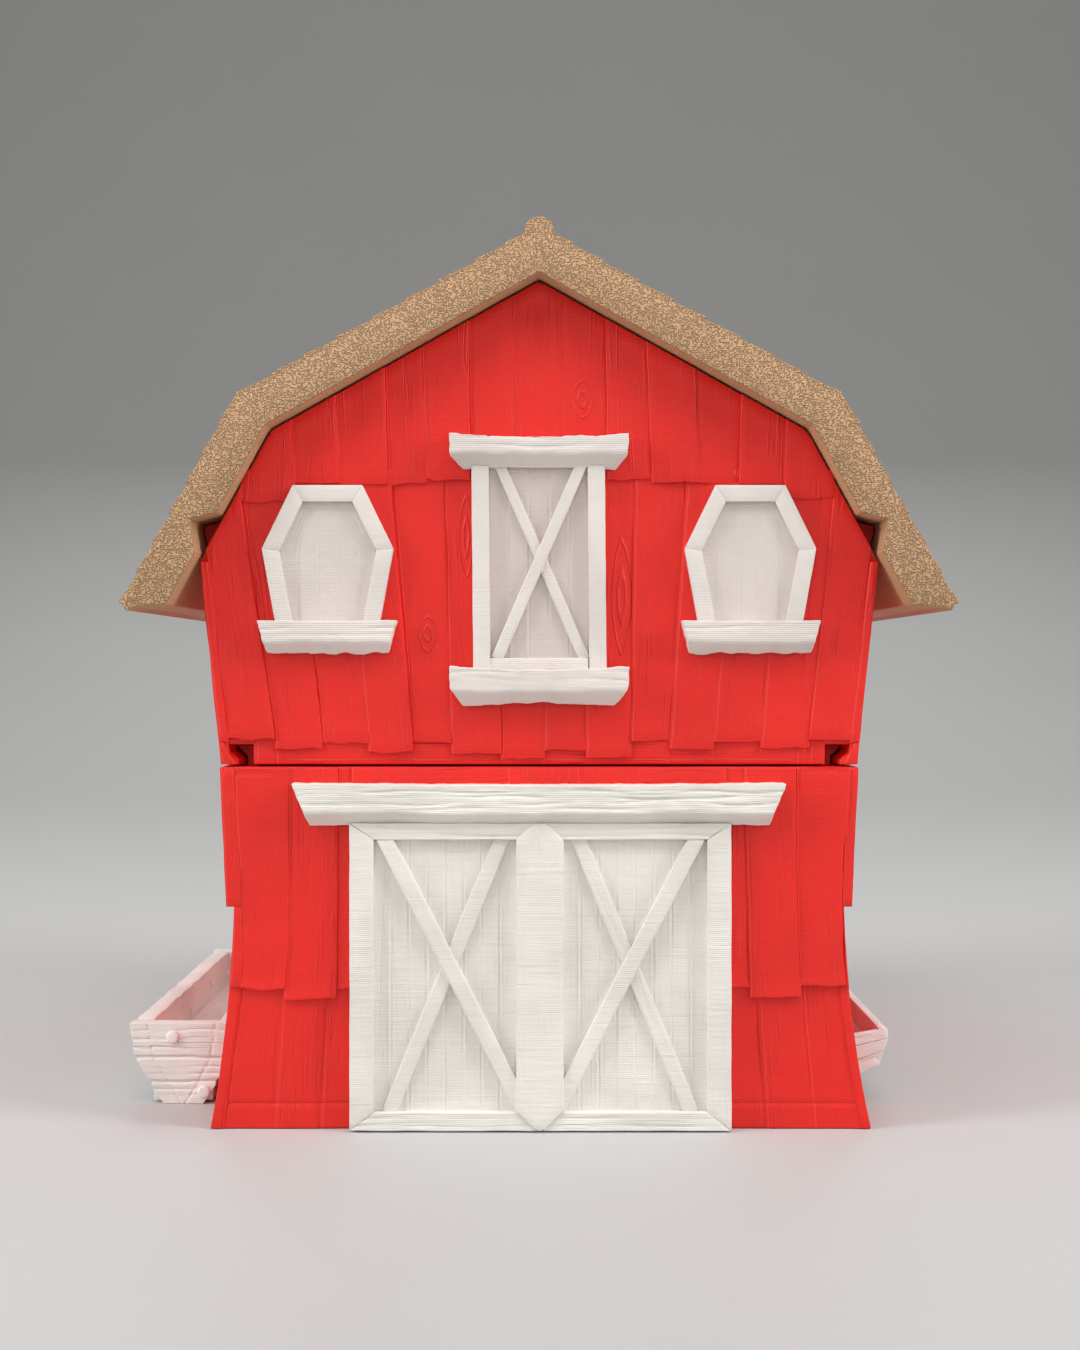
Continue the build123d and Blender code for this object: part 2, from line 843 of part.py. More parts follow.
with BuildPart() as feed_box:
    with BuildSketch(Plane.XZ.offset(-front - feed_front)) as feed_section:
        with BuildLine():
            Polyline(*feed_points(), close=True)
        make_face()
    extrude(amount=-feed_length)
    with BuildSketch(Plane.XZ.offset(-front - feed_front - feed_wall)):
        with BuildLine():
            inside = feed_points(-feed_wall)
            Polyline(
                (inside[0][0], feed_rim_height + 1),
                (inside[1][0], feed_rim_height + 1),
                *inside[1:],
                close=True,
            )
        make_face()
    extrude(amount=-(feed_length - 2 * feed_wall), mode=Mode.SUBTRACT)
feed_box.part.label = "feed_box"
export_step(feed_box.part, "parts/feed_box.step")
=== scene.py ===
"""A toy barn that comes apart: boarded walls, white trim, a shingled roof, a trough and a feed box.

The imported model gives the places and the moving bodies. The visible pieces are modelled here over
it: every board, batten and shingle is its own plank, put together into one piece for each solid.
"""

import math

import bpy
from bpy.props import FloatProperty, FloatVectorProperty, PointerProperty
from bpy.types import Operator, Panel, PropertyGroup
from mathutils import Matrix, Vector, noise


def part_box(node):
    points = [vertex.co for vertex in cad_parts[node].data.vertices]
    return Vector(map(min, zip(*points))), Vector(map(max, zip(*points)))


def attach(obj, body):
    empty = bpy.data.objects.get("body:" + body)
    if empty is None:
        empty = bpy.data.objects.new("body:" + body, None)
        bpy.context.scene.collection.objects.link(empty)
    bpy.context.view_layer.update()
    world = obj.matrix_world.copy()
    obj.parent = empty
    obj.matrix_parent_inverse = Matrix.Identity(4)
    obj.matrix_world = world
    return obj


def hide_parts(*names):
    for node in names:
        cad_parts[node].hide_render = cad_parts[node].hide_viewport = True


bl_info = {
    "name": "Toy barn",
    "version": (1, 0, 0),
    "blender": (4, 5, 0),
    "location": "3D View > Sidebar > Toy barn",
    "description": "Dresses the packed model of a toy barn with boards, trim and shingles",
    "category": "Object",
}

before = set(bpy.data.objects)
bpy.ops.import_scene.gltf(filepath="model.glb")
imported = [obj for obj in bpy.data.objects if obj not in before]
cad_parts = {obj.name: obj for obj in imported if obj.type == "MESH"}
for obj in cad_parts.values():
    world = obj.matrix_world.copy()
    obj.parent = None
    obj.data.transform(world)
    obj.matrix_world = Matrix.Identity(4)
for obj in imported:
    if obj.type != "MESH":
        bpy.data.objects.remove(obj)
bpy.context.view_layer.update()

MM = 0.001
GOLDEN = 2.39996  # the golden angle, for steady differences that don't repeat
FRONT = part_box("lower_storey")[0].y / MM
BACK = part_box("lower_storey")[1].y / MM
ROOF_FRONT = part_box("roof")[0].y / MM
ROOF_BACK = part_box("roof")[1].y / MM

CORE_GAP = 1.0  # how far the storeys' skins are drawn in behind their boards, in millimetres
BOARD_BACK, TRIM_BACK = -1.3, -0.95  # how deep boards and trim reach behind their wall's face
LOWER_FOOT, WAIST, LOWER_TOP = 0.05, 31.2, 50.75  # heights of the lower storey's boards
UPPER_FOOT, GABLE_LAP = 51.15, 92.5  # foot of the upper boards, and their tops under the gable's


class BarnSizes(PropertyGroup):
    """Sizes that the boards and the trim are shaped with."""

    board_lap: FloatProperty(
        name="Board lap", description="How far two neighbouring boards lie over each other",
        default=0.00014, min=0, unit="LENGTH", precision=5,
    )
    board_edge: FloatProperty(
        name="Board edge", description="Width of the worn edge round a wall board",
        default=0.00012, min=0.00001, unit="LENGTH", precision=5,
    )
    board_wave: FloatProperty(
        name="Board wave", description="How far a board's face leaves its plane",
        default=0.00012, min=0, unit="LENGTH", precision=5,
    )
    course_step: FloatProperty(
        name="Course step", description="How far a course stands proud of the one under it",
        default=0.0006, min=0, unit="LENGTH", precision=5,
    )
    trim_edge: FloatProperty(
        name="Trim edge", description="Width of the soft edge round the white trim",
        default=0.00017, min=0.00001, unit="LENGTH", precision=5,
    )
    shingle_width: FloatProperty(
        name="Shingle width", description="Usual width of a shingle",
        default=0.0066, min=0.002, unit="LENGTH", precision=4,
    )


class BarnFinishes(PropertyGroup):
    """Colours and surface depths of the plastics."""

    red: FloatVectorProperty(
        name="Red", description="Plastic of the two storeys", subtype="COLOR",
        default=(0.76, 0.0145, 0.0085), min=0, max=1,
    )
    door_white: FloatVectorProperty(
        name="Door white", description="Plastic of the double door and its header",
        subtype="COLOR", default=(0.80, 0.77, 0.715), min=0, max=1,
    )
    window_white: FloatVectorProperty(
        name="Window white", description="Plastic of the windows and the loft door",
        subtype="COLOR", default=(0.745, 0.685, 0.64), min=0, max=1,
    )
    trough_white: FloatVectorProperty(
        name="Trough white", description="Plastic of the trough and the feed box", subtype="COLOR",
        default=(0.84, 0.80, 0.76), min=0, max=1,
    )
    tan: FloatVectorProperty(
        name="Tan", description="Plastic of the roof", subtype="COLOR",
        default=(0.50, 0.30, 0.158), min=0, max=1,
    )
    grain_depth: FloatProperty(
        name="Grain depth", description="Depth of the lines of the wood grain",
        default=0.00009, min=0, unit="LENGTH", precision=5,
    )
    layer_depth: FloatProperty(
        name="Layer depth", description="Depth of the lines between printed layers",
        default=0.000009, min=0, unit="LENGTH", precision=6,
    )
    fuzz_depth: FloatProperty(
        name="Fuzz depth", description="Depth of the curly texture on the roof's gable faces",
        default=0.00017, min=0, unit="LENGTH", precision=5,
    )


class BarnStudio(PropertyGroup):
    """Light, floor and camera."""

    key_power: FloatProperty(
        name="Key light", description="Power of the softbox over the front, in watts",
        default=1.75, min=0,
    )
    side_power: FloatProperty(
        name="Side lights", description="Power of each side softbox, in watts",
        default=3.6, min=0,
    )
    fill_power: FloatProperty(
        name="Fill light", description="Power of the low frontal light, in watts",
        default=0.8, min=0,
    )
    back_power: FloatProperty(
        name="Back light", description="Power of the softbox behind the barn, in watts",
        default=3.4, min=0,
    )
    world_level: FloatProperty(
        name="World light", description="Strength of the even light from all round",
        default=0.3, min=0,
    )
    floor_grey: FloatProperty(
        name="Floor grey", description="How pale the floor is", default=0.5, min=0, max=1,
    )
    camera_distance: FloatProperty(
        name="Camera distance", description="From the front wall to the camera",
        default=0.252, min=0.05, unit="LENGTH", precision=4,
    )
    camera_height: FloatProperty(
        name="Camera height", description="Height of the level camera over the floor",
        default=0.0645, min=0, unit="LENGTH", precision=4,
    )


# Outlines, in millimetres


def through(*points):
    """A function that runs in straight lines through points of (where, value)."""
    points = sorted(points)

    def value(where):
        if where <= points[0][0]:
            return points[0][1]
        for (a, p), (b, q) in zip(points, points[1:]):
            if where <= b:
                return p + (q - p) * (where - a) / (b - a)
        return points[-1][1]

    return value


def upper_boards(z):
    """Half width of the lower storey over its waist."""
    return 43.9 + (min(z, 50.8) - 31.6) * 0.9 / 19.2


def flare(z):
    """Half width of the lower storey under its waist, where the boards step in and then flare."""
    s = max(0, 30.7 - z)
    return min(46.6, 42.8 + 0.03 * s + s * s / 332.6)


def left_flare(z):
    """The left side flares a little less."""
    return flare(z) - 0.5 * max(0, (30.7 - z) / 30.7) ** 2


def lower_side(z):
    return upper_boards(z) if z > WAIST else flare(z)


def upper_side(z):
    """Half width of the upper storey at a height, up to the eave."""
    return 44.6 + (min(max(z, 51.1), 79.7) - 51.1) * 2.98 / 28.6


RIDGE, RAKE = 118.857, 0.557
BREAK_X, BREAK_Z = 37.48, 97.98
EAVE_X, EAVE_Z = 47.58, 79.7


def gable(x):
    """Height of the upper storey's outline under the roof."""
    x = abs(x)
    if x <= BREAK_X:
        return RIDGE - RAKE * x
    return BREAK_Z - (x - BREAK_X) * (BREAK_Z - EAVE_Z) / (EAVE_X - BREAK_X)


def eave_slope(z):
    """Half width of the upper storey between the eave and the break of the roof."""
    return EAVE_X - (z - EAVE_Z) * (EAVE_X - BREAK_X) / (BREAK_Z - EAVE_Z)


# Walls as flat charts: across, height and outwards go to a point in space


def on_front(a, h, d):
    return a, FRONT - d, h


def on_back(a, h, d):
    return -a, BACK + d, h


def on_right(side):
    """Chart of a right side wall with the given profile."""
    return lambda a, h, d: (side(h) + d, a, h)


def on_left(side):
    return lambda a, h, d: (-side(h) - d, -a, h)


def turned(chart, centre, angle):
    """A chart turned in its own plane about a point, for boards that lie askew."""
    c, s = math.cos(angle), math.sin(angle)
    return lambda a, h, d: chart(centre[0] + c * a - s * h, centre[1] + s * a + c * h, d)


def rough(x, y, seed=0.0):
    """Smooth steady unevenness between -1 and 1."""
    return noise.noise(Vector((x, y, 17.3 * seed + 0.37)))


# Modelling


def alone(obj):
    """Only this object is selected and active."""
    bpy.ops.object.select_all(action="DESELECT")
    obj.select_set(True)
    bpy.context.view_layer.objects.active = obj
    return obj


def soften(obj, width, segments=2, angle=40):
    """Worn edges: a bevel on every sharp edge."""
    alone(obj)
    bpy.ops.object.modifier_add(type="BEVEL")
    bevel = obj.modifiers[-1]
    bevel.width = width
    bevel.segments = segments
    bevel.limit_method = "ANGLE"
    bevel.angle_limit = math.radians(angle)
    bevel.use_clamp_overlap = True
    bpy.ops.object.modifier_apply(modifier=bevel.name)
    return obj


def outward():
    """In edit mode: all faces point outwards."""
    bpy.ops.mesh.select_all(action="SELECT")
    bpy.ops.mesh.normals_make_consistent(inside=False)


def plank(chart, spot, outer, inner, cells, edge, seed, segments=2):
    """A board: a grid whose rim is pulled back and closed, laid on a chart.

    spot gives (across, height) for the board's own (u, w); outer is how far its face stands out.
    """
    across, up = cells
    bpy.ops.object.select_all(action="DESELECT")
    bpy.ops.mesh.primitive_grid_add(
        x_subdivisions=across, y_subdivisions=up, size=1, location=(0.5, 0.5, 0)
    )
    obj = bpy.context.object
    bpy.ops.object.transform_apply(location=True, rotation=False, scale=False)
    bpy.ops.object.mode_set(mode="EDIT")
    bpy.ops.mesh.select_all(action="SELECT")
    bpy.ops.mesh.region_to_loop()
    bpy.ops.mesh.extrude_edges_move(TRANSFORM_OT_translate={"value": (0, 0, -1)})
    bpy.ops.mesh.edge_face_add()
    bpy.ops.object.mode_set(mode="OBJECT")
    reach = outer if callable(outer) else (lambda a, h: outer)
    width = math.dist(spot(0, 0.5), spot(1, 0.5))
    height = math.dist(spot(0.5, 0), spot(0.5, 1))
    grain = obj.data.attributes.new("grain", "FLOAT_VECTOR", "POINT")
    for v, g in zip(obj.data.vertices, grain.data):
        u, w, t = v.co
        a, h = spot(u, w)
        d = reach(a, h) if t > -0.5 else inner
        v.co = Vector(chart(a, h, d)) * MM
        along, side = (w * height, u * width) if height > width else (u * width, w * height)
        g.vector = (side + 0.6 * d, along, 13.7 * seed)
    bpy.ops.object.mode_set(mode="EDIT")
    outward()
    bpy.ops.object.mode_set(mode="OBJECT")
    soften(obj, edge, segments)
    return obj


def quad(p00, p10, p11, p01):
    """Spot function of a four-cornered board: foot left, foot right, top right, top left."""

    def spot(u, w):
        return tuple(
            (1 - w) * ((1 - u) * p00[i] + u * p10[i]) + w * ((1 - u) * p01[i] + u * p11[i])
            for i in (0, 1)
        )

    return spot


def prism(section, start, end):
    """A straight bar along y with the given section of (x, z) points."""
    bpy.ops.object.select_all(action="DESELECT")
    bpy.ops.mesh.primitive_circle_add(vertices=len(section), radius=1, fill_type="NGON")
    obj = bpy.context.object
    for v, (x, z) in zip(obj.data.vertices, section):
        v.co = Vector((x, start, z)) * MM
    bpy.ops.object.mode_set(mode="EDIT")
    bpy.ops.mesh.select_all(action="SELECT")
    bpy.ops.mesh.extrude_region_move(TRANSFORM_OT_translate={"value": (0, (end - start) * MM, 0)})
    outward()
    bpy.ops.object.mode_set(mode="OBJECT")
    return obj


def drawn_in(node, pull):
    """A merged copy of a CAD node with its skin drawn in behind the boards."""
    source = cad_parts[node]
    obj = bpy.data.objects.new(node + "_core", source.data.copy())
    bpy.context.scene.collection.objects.link(obj)
    alone(obj)
    bpy.ops.object.mode_set(mode="EDIT")
    bpy.ops.mesh.select_all(action="SELECT")
    bpy.ops.mesh.remove_doubles(threshold=0.000002)
    bpy.ops.object.mode_set(mode="OBJECT")
    for v in obj.data.vertices:
        x, y, z = v.co / MM
        v.co = Vector(pull(x, y, z)) * MM
    bpy.ops.object.mode_set(mode="EDIT")
    bpy.ops.mesh.select_all(action="SELECT")
    bpy.ops.mesh.remove_doubles(threshold=0.000005)
    bpy.ops.mesh.select_all(action="SELECT")
    bpy.ops.mesh.dissolve_limited(angle_limit=math.radians(0.5))
    bpy.ops.object.mode_set(mode="OBJECT")
    obj.data.materials.clear()
    return obj


def together(name, parts):
    """Parts joined into one piece."""
    bpy.ops.object.select_all(action="DESELECT")
    for part in parts:
        part.select_set(True)
    bpy.context.view_layer.objects.active = parts[0]
    if len(parts) > 1:
        bpy.ops.object.join()
    obj = bpy.context.object
    obj.name = name
    obj.data.name = name
    return obj


def dress(obj, material, body, slot, *nodes):
    """The piece gets its plastic and its body, and the CAD nodes it stands for are hidden."""
    alone(obj)
    bpy.ops.object.shade_smooth_by_angle(angle=math.radians(35))
    obj.data.materials.clear()
    obj.data.materials.append(material)
    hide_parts(*nodes)
    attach(obj, body)
    return obj


# Each plastic's material, colour, depth of grain and slot
PLASTICS = {
    "red": ("red plastic", "red", 1.0, "red_plastic"),
    "door": ("door plastic", "door_white", 1.0, "white_plastic"),
    "window": ("window plastic", "window_white", 0.4, "white_plastic"),
    "trough": ("trough plastic", "trough_white", 1.8, "white_plastic"),
}


def dress_in(kind, obj, body, node):
    """The piece gets one of the grained plastics."""
    name, colour, relief, slot = PLASTICS[kind]
    return dress(obj, plastic(name, colour, relief), body, slot, node)


# Boarded walls

RAGGED = 0.35


def ragged(foot, seed):
    """A board's foot that isn't cut quite level."""
    return lambda a: foot + RAGGED * rough(a * 0.42, seed, 3) + 0.5 * RAGGED * rough(
        a * 1.3, seed, 5)


def wall_board(chart, left, right, foot, top, proud, tilt, seed, sizes, cell, cuts, kick=0.0):
    """One upright board between two joint lines, each given as a function of height."""
    lap, edge = sizes.board_lap / MM, sizes.board_edge
    wave = sizes.board_wave / MM
    low, high = foot((left(0) + right(0)) / 2), top((left(99) + right(99)) / 2)
    middle = (low + high) / 2

    def spot(u, w):
        # a slanted top and leaning joints depend on each other, so the place is found in steps
        a = left(middle) + u * (right(middle) - left(middle))
        for _ in range(4):
            h = foot(a) + w * (top(a) - foot(a))
            a0 = left(h) - lap / 2 + 0.08 * rough(h * 0.3, left(0), 1)
            a1 = right(h) + lap / 2 + 0.08 * rough(h * 0.3, right(0), 1)
            a = a0 + u * (a1 - a0)
        return a, foot(a) + w * (top(a) - foot(a))

    width = right(middle) - left(middle)

    def outer(a, h):
        side = (a - left(h)) / width - 0.5
        out = proud + 2.2 * tilt * side + wave * rough(a * 0.45, h * 0.12, seed) - cuts(a, h)
        return out + kick * math.exp(-((h - foot(a)) / 1.2) ** 2)

    cells = (max(3, round(width / cell[0])), max(3, round((high - low) / cell[1])))
    return plank(chart, spot, outer, BOARD_BACK, cells, edge, seed)


def level(value):
    return lambda a: value


def uncut(a, h):
    return 0.0


SCORE_DEPTH, SCORE_HALF = 0.16, 0.2


def scored(height, low, high):
    """A level groove across the boards between two places."""
    return lambda a, h: (
        SCORE_DEPTH * math.exp(-((h - height) / SCORE_HALF) ** 2) if low < a < high else 0.0
    )


def course(chart, joints, feet, tops, prouds, tilts, seed, sizes, cell=(0.9, 1.9), cuts=uncut,
           kick=0.15):
    """A course of boards side by side: one joint line more than there are boards."""
    boards = []
    for i, (left, right) in enumerate(zip(joints, joints[1:])):
        foot = feet[i] if callable(feet[i]) else ragged(feet[i], seed + i)
        top = tops[i] if callable(tops[i]) else level(tops[i])
        boards.append(
            wall_board(chart, left, right, foot, top, prouds[i], tilts[i], seed + 1.7 * i, sizes,
                       cell, cuts, 0 if callable(feet[i]) else kick)
        )
    return boards


def corner_boards(chart, side, edge, foot, top, seed, sizes, proud=-0.08):
    """The narrow boards between a wall's face and both its corners."""
    made = []
    for sign in (-1, 1):
        skin = left_flare if side is flare and sign * chart(1, 0, 0)[0] < 0 else side
        outer = lambda h, s=sign, skin=skin: s * (skin(h) - 0.1)
        inner = lambda h, s=sign: s * edge(h, s)
        left, right = (outer, inner) if sign < 0 else (inner, outer)
        made.append(wall_board(chart, left, right, level(foot), level(top), proud, 0.02,
                               seed + sign, sizes, (0.6, 1.5), uncut))
    return made


def unevenly(count, seed, depth):
    """Small steady differences from board to board."""
    return [depth * math.sin(GOLDEN * i + seed) for i in range(count)]


def evenly(start, end, count, seed, lean=0.0):
    """Upright joint lines across a wall, about one board apart."""
    step = (end - start) / count
    lines = []
    for i in range(count + 1):
        a = start + i * step + (0.14 * step * math.sin(GOLDEN * i + seed) if 0 < i < count else 0)
        sway = 0.25 * math.sin(1.7 * i + seed) if 0 < i < count else 0
        lines.append(through((0, a * (1 - lean)), (100, a * (1 + lean) + sway)))
    return lines


class BARN_OT_lower_storey(Operator):
    """Board the lower storey on all four sides."""

    bl_idname = "barn.lower_storey"
    bl_label = "Lower storey"

    def execute(self, context):
        sizes = context.scene.barn_sizes
        step = sizes.course_step / MM

        def pull(x, y, z):
            if z < 50.85:
                half = lower_side(z) - CORE_GAP
                x = max(-half, min(half, x))
            return x, max(FRONT + CORE_GAP, min(BACK - CORE_GAP, y)), z

        parts = [drawn_in("lower_storey", pull)]

        # Front, over the course line: joints read off the photograph
        left = [
            through((0, -41.8), (19.6, -41.8), (26, -41.4), (49, -42.7), (51, -42.8)),
            through((19, -35.7), (26, -35.1), (51, -35.1)),
            through((18, -28.4), (41, -28.2), (51, -28.2)),
            through((0, -26.2), (51, -26.2)),
        ]
        right = [
            through((0, 26.2), (51, 26.2)),
            through((19.8, 29.5), (43, 28.9), (51, 28.8)),
            through((18.6, 36.7), (24.5, 36.3), (36, 36.0), (51, 35.9)),
            through((20, 43.0), (24.5, 42.5), (34, 42.4), (39.6, 42.6), (44, 43.1), (51, 43.4)),
        ]
        parts += course(on_front, left, [19.6, 18.3, 19.6], [LOWER_TOP] * 3,
                        [0, 0.03, -0.3], [0.12, 0.05, 0], 1.1, sizes, (0.9, 0.4),
                        scored(49.9, -43.4, -37.1))
        parts += course(on_front, right, [19.8, 18.5, 20.1], [LOWER_TOP] * 3,
                        [-0.3, 0.03, -0.02], [0.05, 0.1, 0.12], 4.3, sizes, (0.9, 0.4),
                        scored(50.3, 37.7, 43.1))
        middle = evenly(-26.2, 26.2, 5, 2.2)
        parts += course(on_front, middle, [level(40)] * 5, [LOWER_TOP] * 5,
                        unevenly(5, 1, 0.02), unevenly(5, 2, 0.03), 9.0, sizes)

        # Front, under it: the boards flare out with the sides
        left = [
            through((0, -44.5), (7.6, -43.5), (12.3, -42.9), (19.6, -41.8), (22, -41.6)),
            through((0.5, -37.3), (12, -36.5), (18, -36.0), (22, -35.8)),
            through((0.5, -30.9), (18, -30.0), (22, -29.9)),
            through((0, -26.2), (22, -26.2)),
        ]
        right = [
            through((0, 26.2), (22, 26.2)),
            through((0.5, 31.6), (18, 30.6), (22, 30.4)),
            through((0.8, 38.3), (9, 37.6), (16.4, 36.9), (22, 36.6)),
            through((0, 45.8), (1, 45.7), (6.4, 44.7), (12.3, 43.8), (20, 43.0), (22, 42.9)),
        ]
        parts += course(on_front, left, [level(LOWER_FOOT)] * 3, [22] * 3,
                        [-step, 0.06 - step, -0.12 - step], [0.06, -0.04, 0], 12.1, sizes,
                        (0.9, 0.35), scored(3.5, -50, 50))
        parts += course(on_front, right, [level(LOWER_FOOT)] * 3, [22] * 3,
                        [-0.15 - step, -0.02 - step, 0.02 - step], [0, 0.1, 0.05], 15.3, sizes,
                        (0.9, 0.35), scored(3.5, -50, 50))

        # Corner boards, front and back
        left_edge = through((0, 44.2), (7.6, 43.4), (12.3, 42.9), (19.6, 41.8), (26, 41.4),
                            (49, 42.7))
        right_edge = through((0, 45.8), (6.4, 44.7), (12.3, 43.8), (20, 43.0), (34, 42.4),
                             (51, 43.4))

        def face_edge(h, sign):
            return left_edge(h) if sign < 0 else right_edge(h)

        for side, foot, head in (
            (flare, LOWER_FOOT, 19.9), (flare, 19.9, WAIST), (upper_boards, WAIST, LOWER_TOP),
        ):
            proud = -0.08 if foot > 1 else 0.04 - step
            parts += corner_boards(on_front, side, face_edge, foot, head, 5.0, sizes, proud)
            parts += corner_boards(on_back, side, lambda h, s: side(h) - 2.6, foot, head, 7.0,
                                   sizes, proud)

        # Back: the same two courses over its whole width
        for foot, head, proud, seed in (
            (19.2, LOWER_TOP, 0, 3.1), (LOWER_FOOT, 21.5, -step, 5.9),
        ):
            joints = evenly(-42.6, 42.6, 13, seed, 0.01)
            joints[0] = lambda h: 1.4 - flare(h)
            joints[-1] = lambda h: flare(h) - 1.4
            feet = [f + foot for f in unevenly(13, seed, 0.6)] if foot > 1 else [level(foot)] * 13
            parts += course(on_back, joints, feet, [head] * 13,
                            [proud + p for p in unevenly(13, seed + 1, 0.08)],
                            unevenly(13, seed + 2, 0.12), 20 + seed, sizes)

        # Sides: the course line is at the waist, and the lower boards follow the flare
        for wall, seed in ((on_right, 1.9), (on_left, 6.2)):
            for side, foot, head, side_seed in (
                (upper_boards, WAIST, LOWER_TOP, 0.0), (flare, LOWER_FOOT, WAIST, 2.7),
            ):
                if wall is on_left and side is flare:
                    side = left_flare
                shift = seed + side_seed
                joints = evenly(FRONT + 0.45, BACK - 0.45, 13, shift)
                parts += course(wall(side), joints, [level(foot)] * 13, [head] * 13,
                                [p - 0.04 for p in unevenly(13, shift, 0.05)],
                                unevenly(13, shift + 1, 0.1), 30 + shift, sizes)
        piece = together("lower_walls", parts)
        dress_in("red", piece, "lower", "lower_storey")
        return {"FINISHED"}


class BARN_OT_upper_storey(Operator):
    """Board the upper storey on all four sides, up to the roof."""

    bl_idname = "barn.upper_storey"
    bl_label = "Upper storey"

    def execute(self, context):
        sizes = context.scene.barn_sizes
        step = sizes.course_step / MM

        def pull(x, y, z):
            if z < EAVE_Z - 0.05:
                half = upper_side(z) - CORE_GAP
                if abs(x) > half:
                    x = math.copysign(half, x)
            elif z < 87.1 and 0 < eave_slope(z) - abs(x) < 0.5:
                # the strips beside the eave hooks are plain: no joints run through them
                x = math.copysign(eave_slope(z), x)
            return x, max(FRONT + CORE_GAP, min(BACK - CORE_GAP, y)), z

        parts = [drawn_in("upper_storey", pull)]

        def under_roof(a):
            return gable(a) - 0.05

        def joint(top_x, foot_x):
            return through((54.0, foot_x), (88.5, top_x))

        # Main course of the front, joints read off the photograph from left to right
        main = [
            through((55, -43.6), (81.9, -46.75)),
            joint(-41.9, -37.0), joint(-34.1, -30.4), joint(-26.8, -24.0), joint(-20.7, -17.7),
            joint(-13.4, -12.3), joint(-5.4, -5.4), joint(0.8, 0.8), joint(6.6, 6.6),
            joint(13.3, 12.9), joint(20.6, 18.3), joint(27.3, 24.4), joint(33.6, 31.1),
            joint(41.3, 37.8),
            through((55, 43.75), (82.2, 46.6)),
        ]
        feet = [54.7, 53.3, 54.1, 52.9, 54.1, 52.6, 52.0, 53.1, 52.1, 54.3, 53.2, 54.3, 53.5, 54.7]
        prouds = [0.02, -0.02, -0.08, 0.03, -0.1, 0.02, 0, 0.03, 0, -0.08, 0.04, 0.0, 0.04, 0.0]
        tilts = [0.06, 0.08, 0.08, 0.1, 0.12, 0.1, 0.08, -0.08, -0.1, -0.1, 0.1, -0.08, 0.08, -0.06]
        tops = [under_roof] + [GABLE_LAP] * 12 + [under_roof]
        lift = [-0.4 * step] + [-step] * 12 + [-0.4 * step]
        prouds = [p + 0.55 * s for p, s in zip(prouds, lift)]
        parts += course(on_front, main, feet, tops, prouds, tilts, 2.6, sizes)

        # Gable course, which overhangs the main one
        gable_joints = [
            through((87, -42.0), (95, -41.4)),
            through((90, -34.3), (99, -34.7)), through((90, -27.9), (103, -28.5)),
            through((90, -21.2), (107, -21.7)), through((91, -15.7), (110, -16.4)),
            through((91, -9.7), (113, -9.9)), through((91, -3.5), (116, -3.75)),
            through((91, 3.25), (116, 3.4)), through((91, 9.6), (113, 9.4)),
            through((91, 15.8), (110, 15.1)), through((91, 22.2), (107, 22.0)),
            through((90, 28.0), (102, 28.3)), through((90, 34.4), (99, 34.7)),
            through((87, 41.4), (95, 41.2)),
        ]
        feet = [87.9, 90.4, 90.4, 90.4, 91.0, 91, 91, 91, 91.0, 90.6, 90.5, 90.5, 88.3]
        prouds = [0, -0.02, 0.02, -0.1, 0.12, 0.02, 0.05, 0.0, 0.04, 0.1, -0.12, 0.0, 0.02]
        tilts = [0.08, 0.1, 0.12, 0.1, 0.1, 0.12, 0.05, -0.08, -0.1, 0.08, -0.12, -0.1, -0.08]
        parts += course(on_front, gable_joints, feet, [under_roof] * 13, prouds, tilts, 6.4, sizes,
                        kick=0.03)

        # Corner boards, with the slanted lips of the groove mouths and the lintels over them
        face = through((54, 43.5), (82, 46.75))
        lip = through((51.1, 42.55), (51.5, 42.55), (53.4, 44.15), (54, 44.2))
        parts += corner_boards(on_front, upper_side, lambda h, s: face(h), 54.2, EAVE_Z - 0.2, 3.0,
                               sizes)
        parts += corner_boards(on_front, upper_side, lambda h, s: lip(h), UPPER_FOOT, 54.2, 4.0,
                               sizes)
        parts += corner_boards(on_back, upper_side, lambda h, s: upper_side(h) - 1.3, UPPER_FOOT,
                               EAVE_Z - 0.2, 6.0, sizes)
        for x in (-44.15, 39.9):
            lines = [level(x), level(x + 4.25)]
            parts += course(on_front, lines, [level(53.95)], [56], [-step - 0.1], [0], x, sizes)

        # Foot strip between the groove mouths, set back under the ragged feet
        strip = [-40.0, -37.2, -35.4, -30.4, -24.2, -17.8, -12.4, -5.4, 0.8, 6.6, 12.9, 18.3, 24.4,
                 31.1, 35.8, 37.7, 40.0]
        count = len(strip) - 1
        parts += course(on_front, [level(x) for x in strip], [level(UPPER_FOOT)] * count,
                        [56] * count, [p - step - 0.1 for p in unevenly(count, 2, 0.06)],
                        unevenly(count, 3, 0.06), 8.8, sizes)

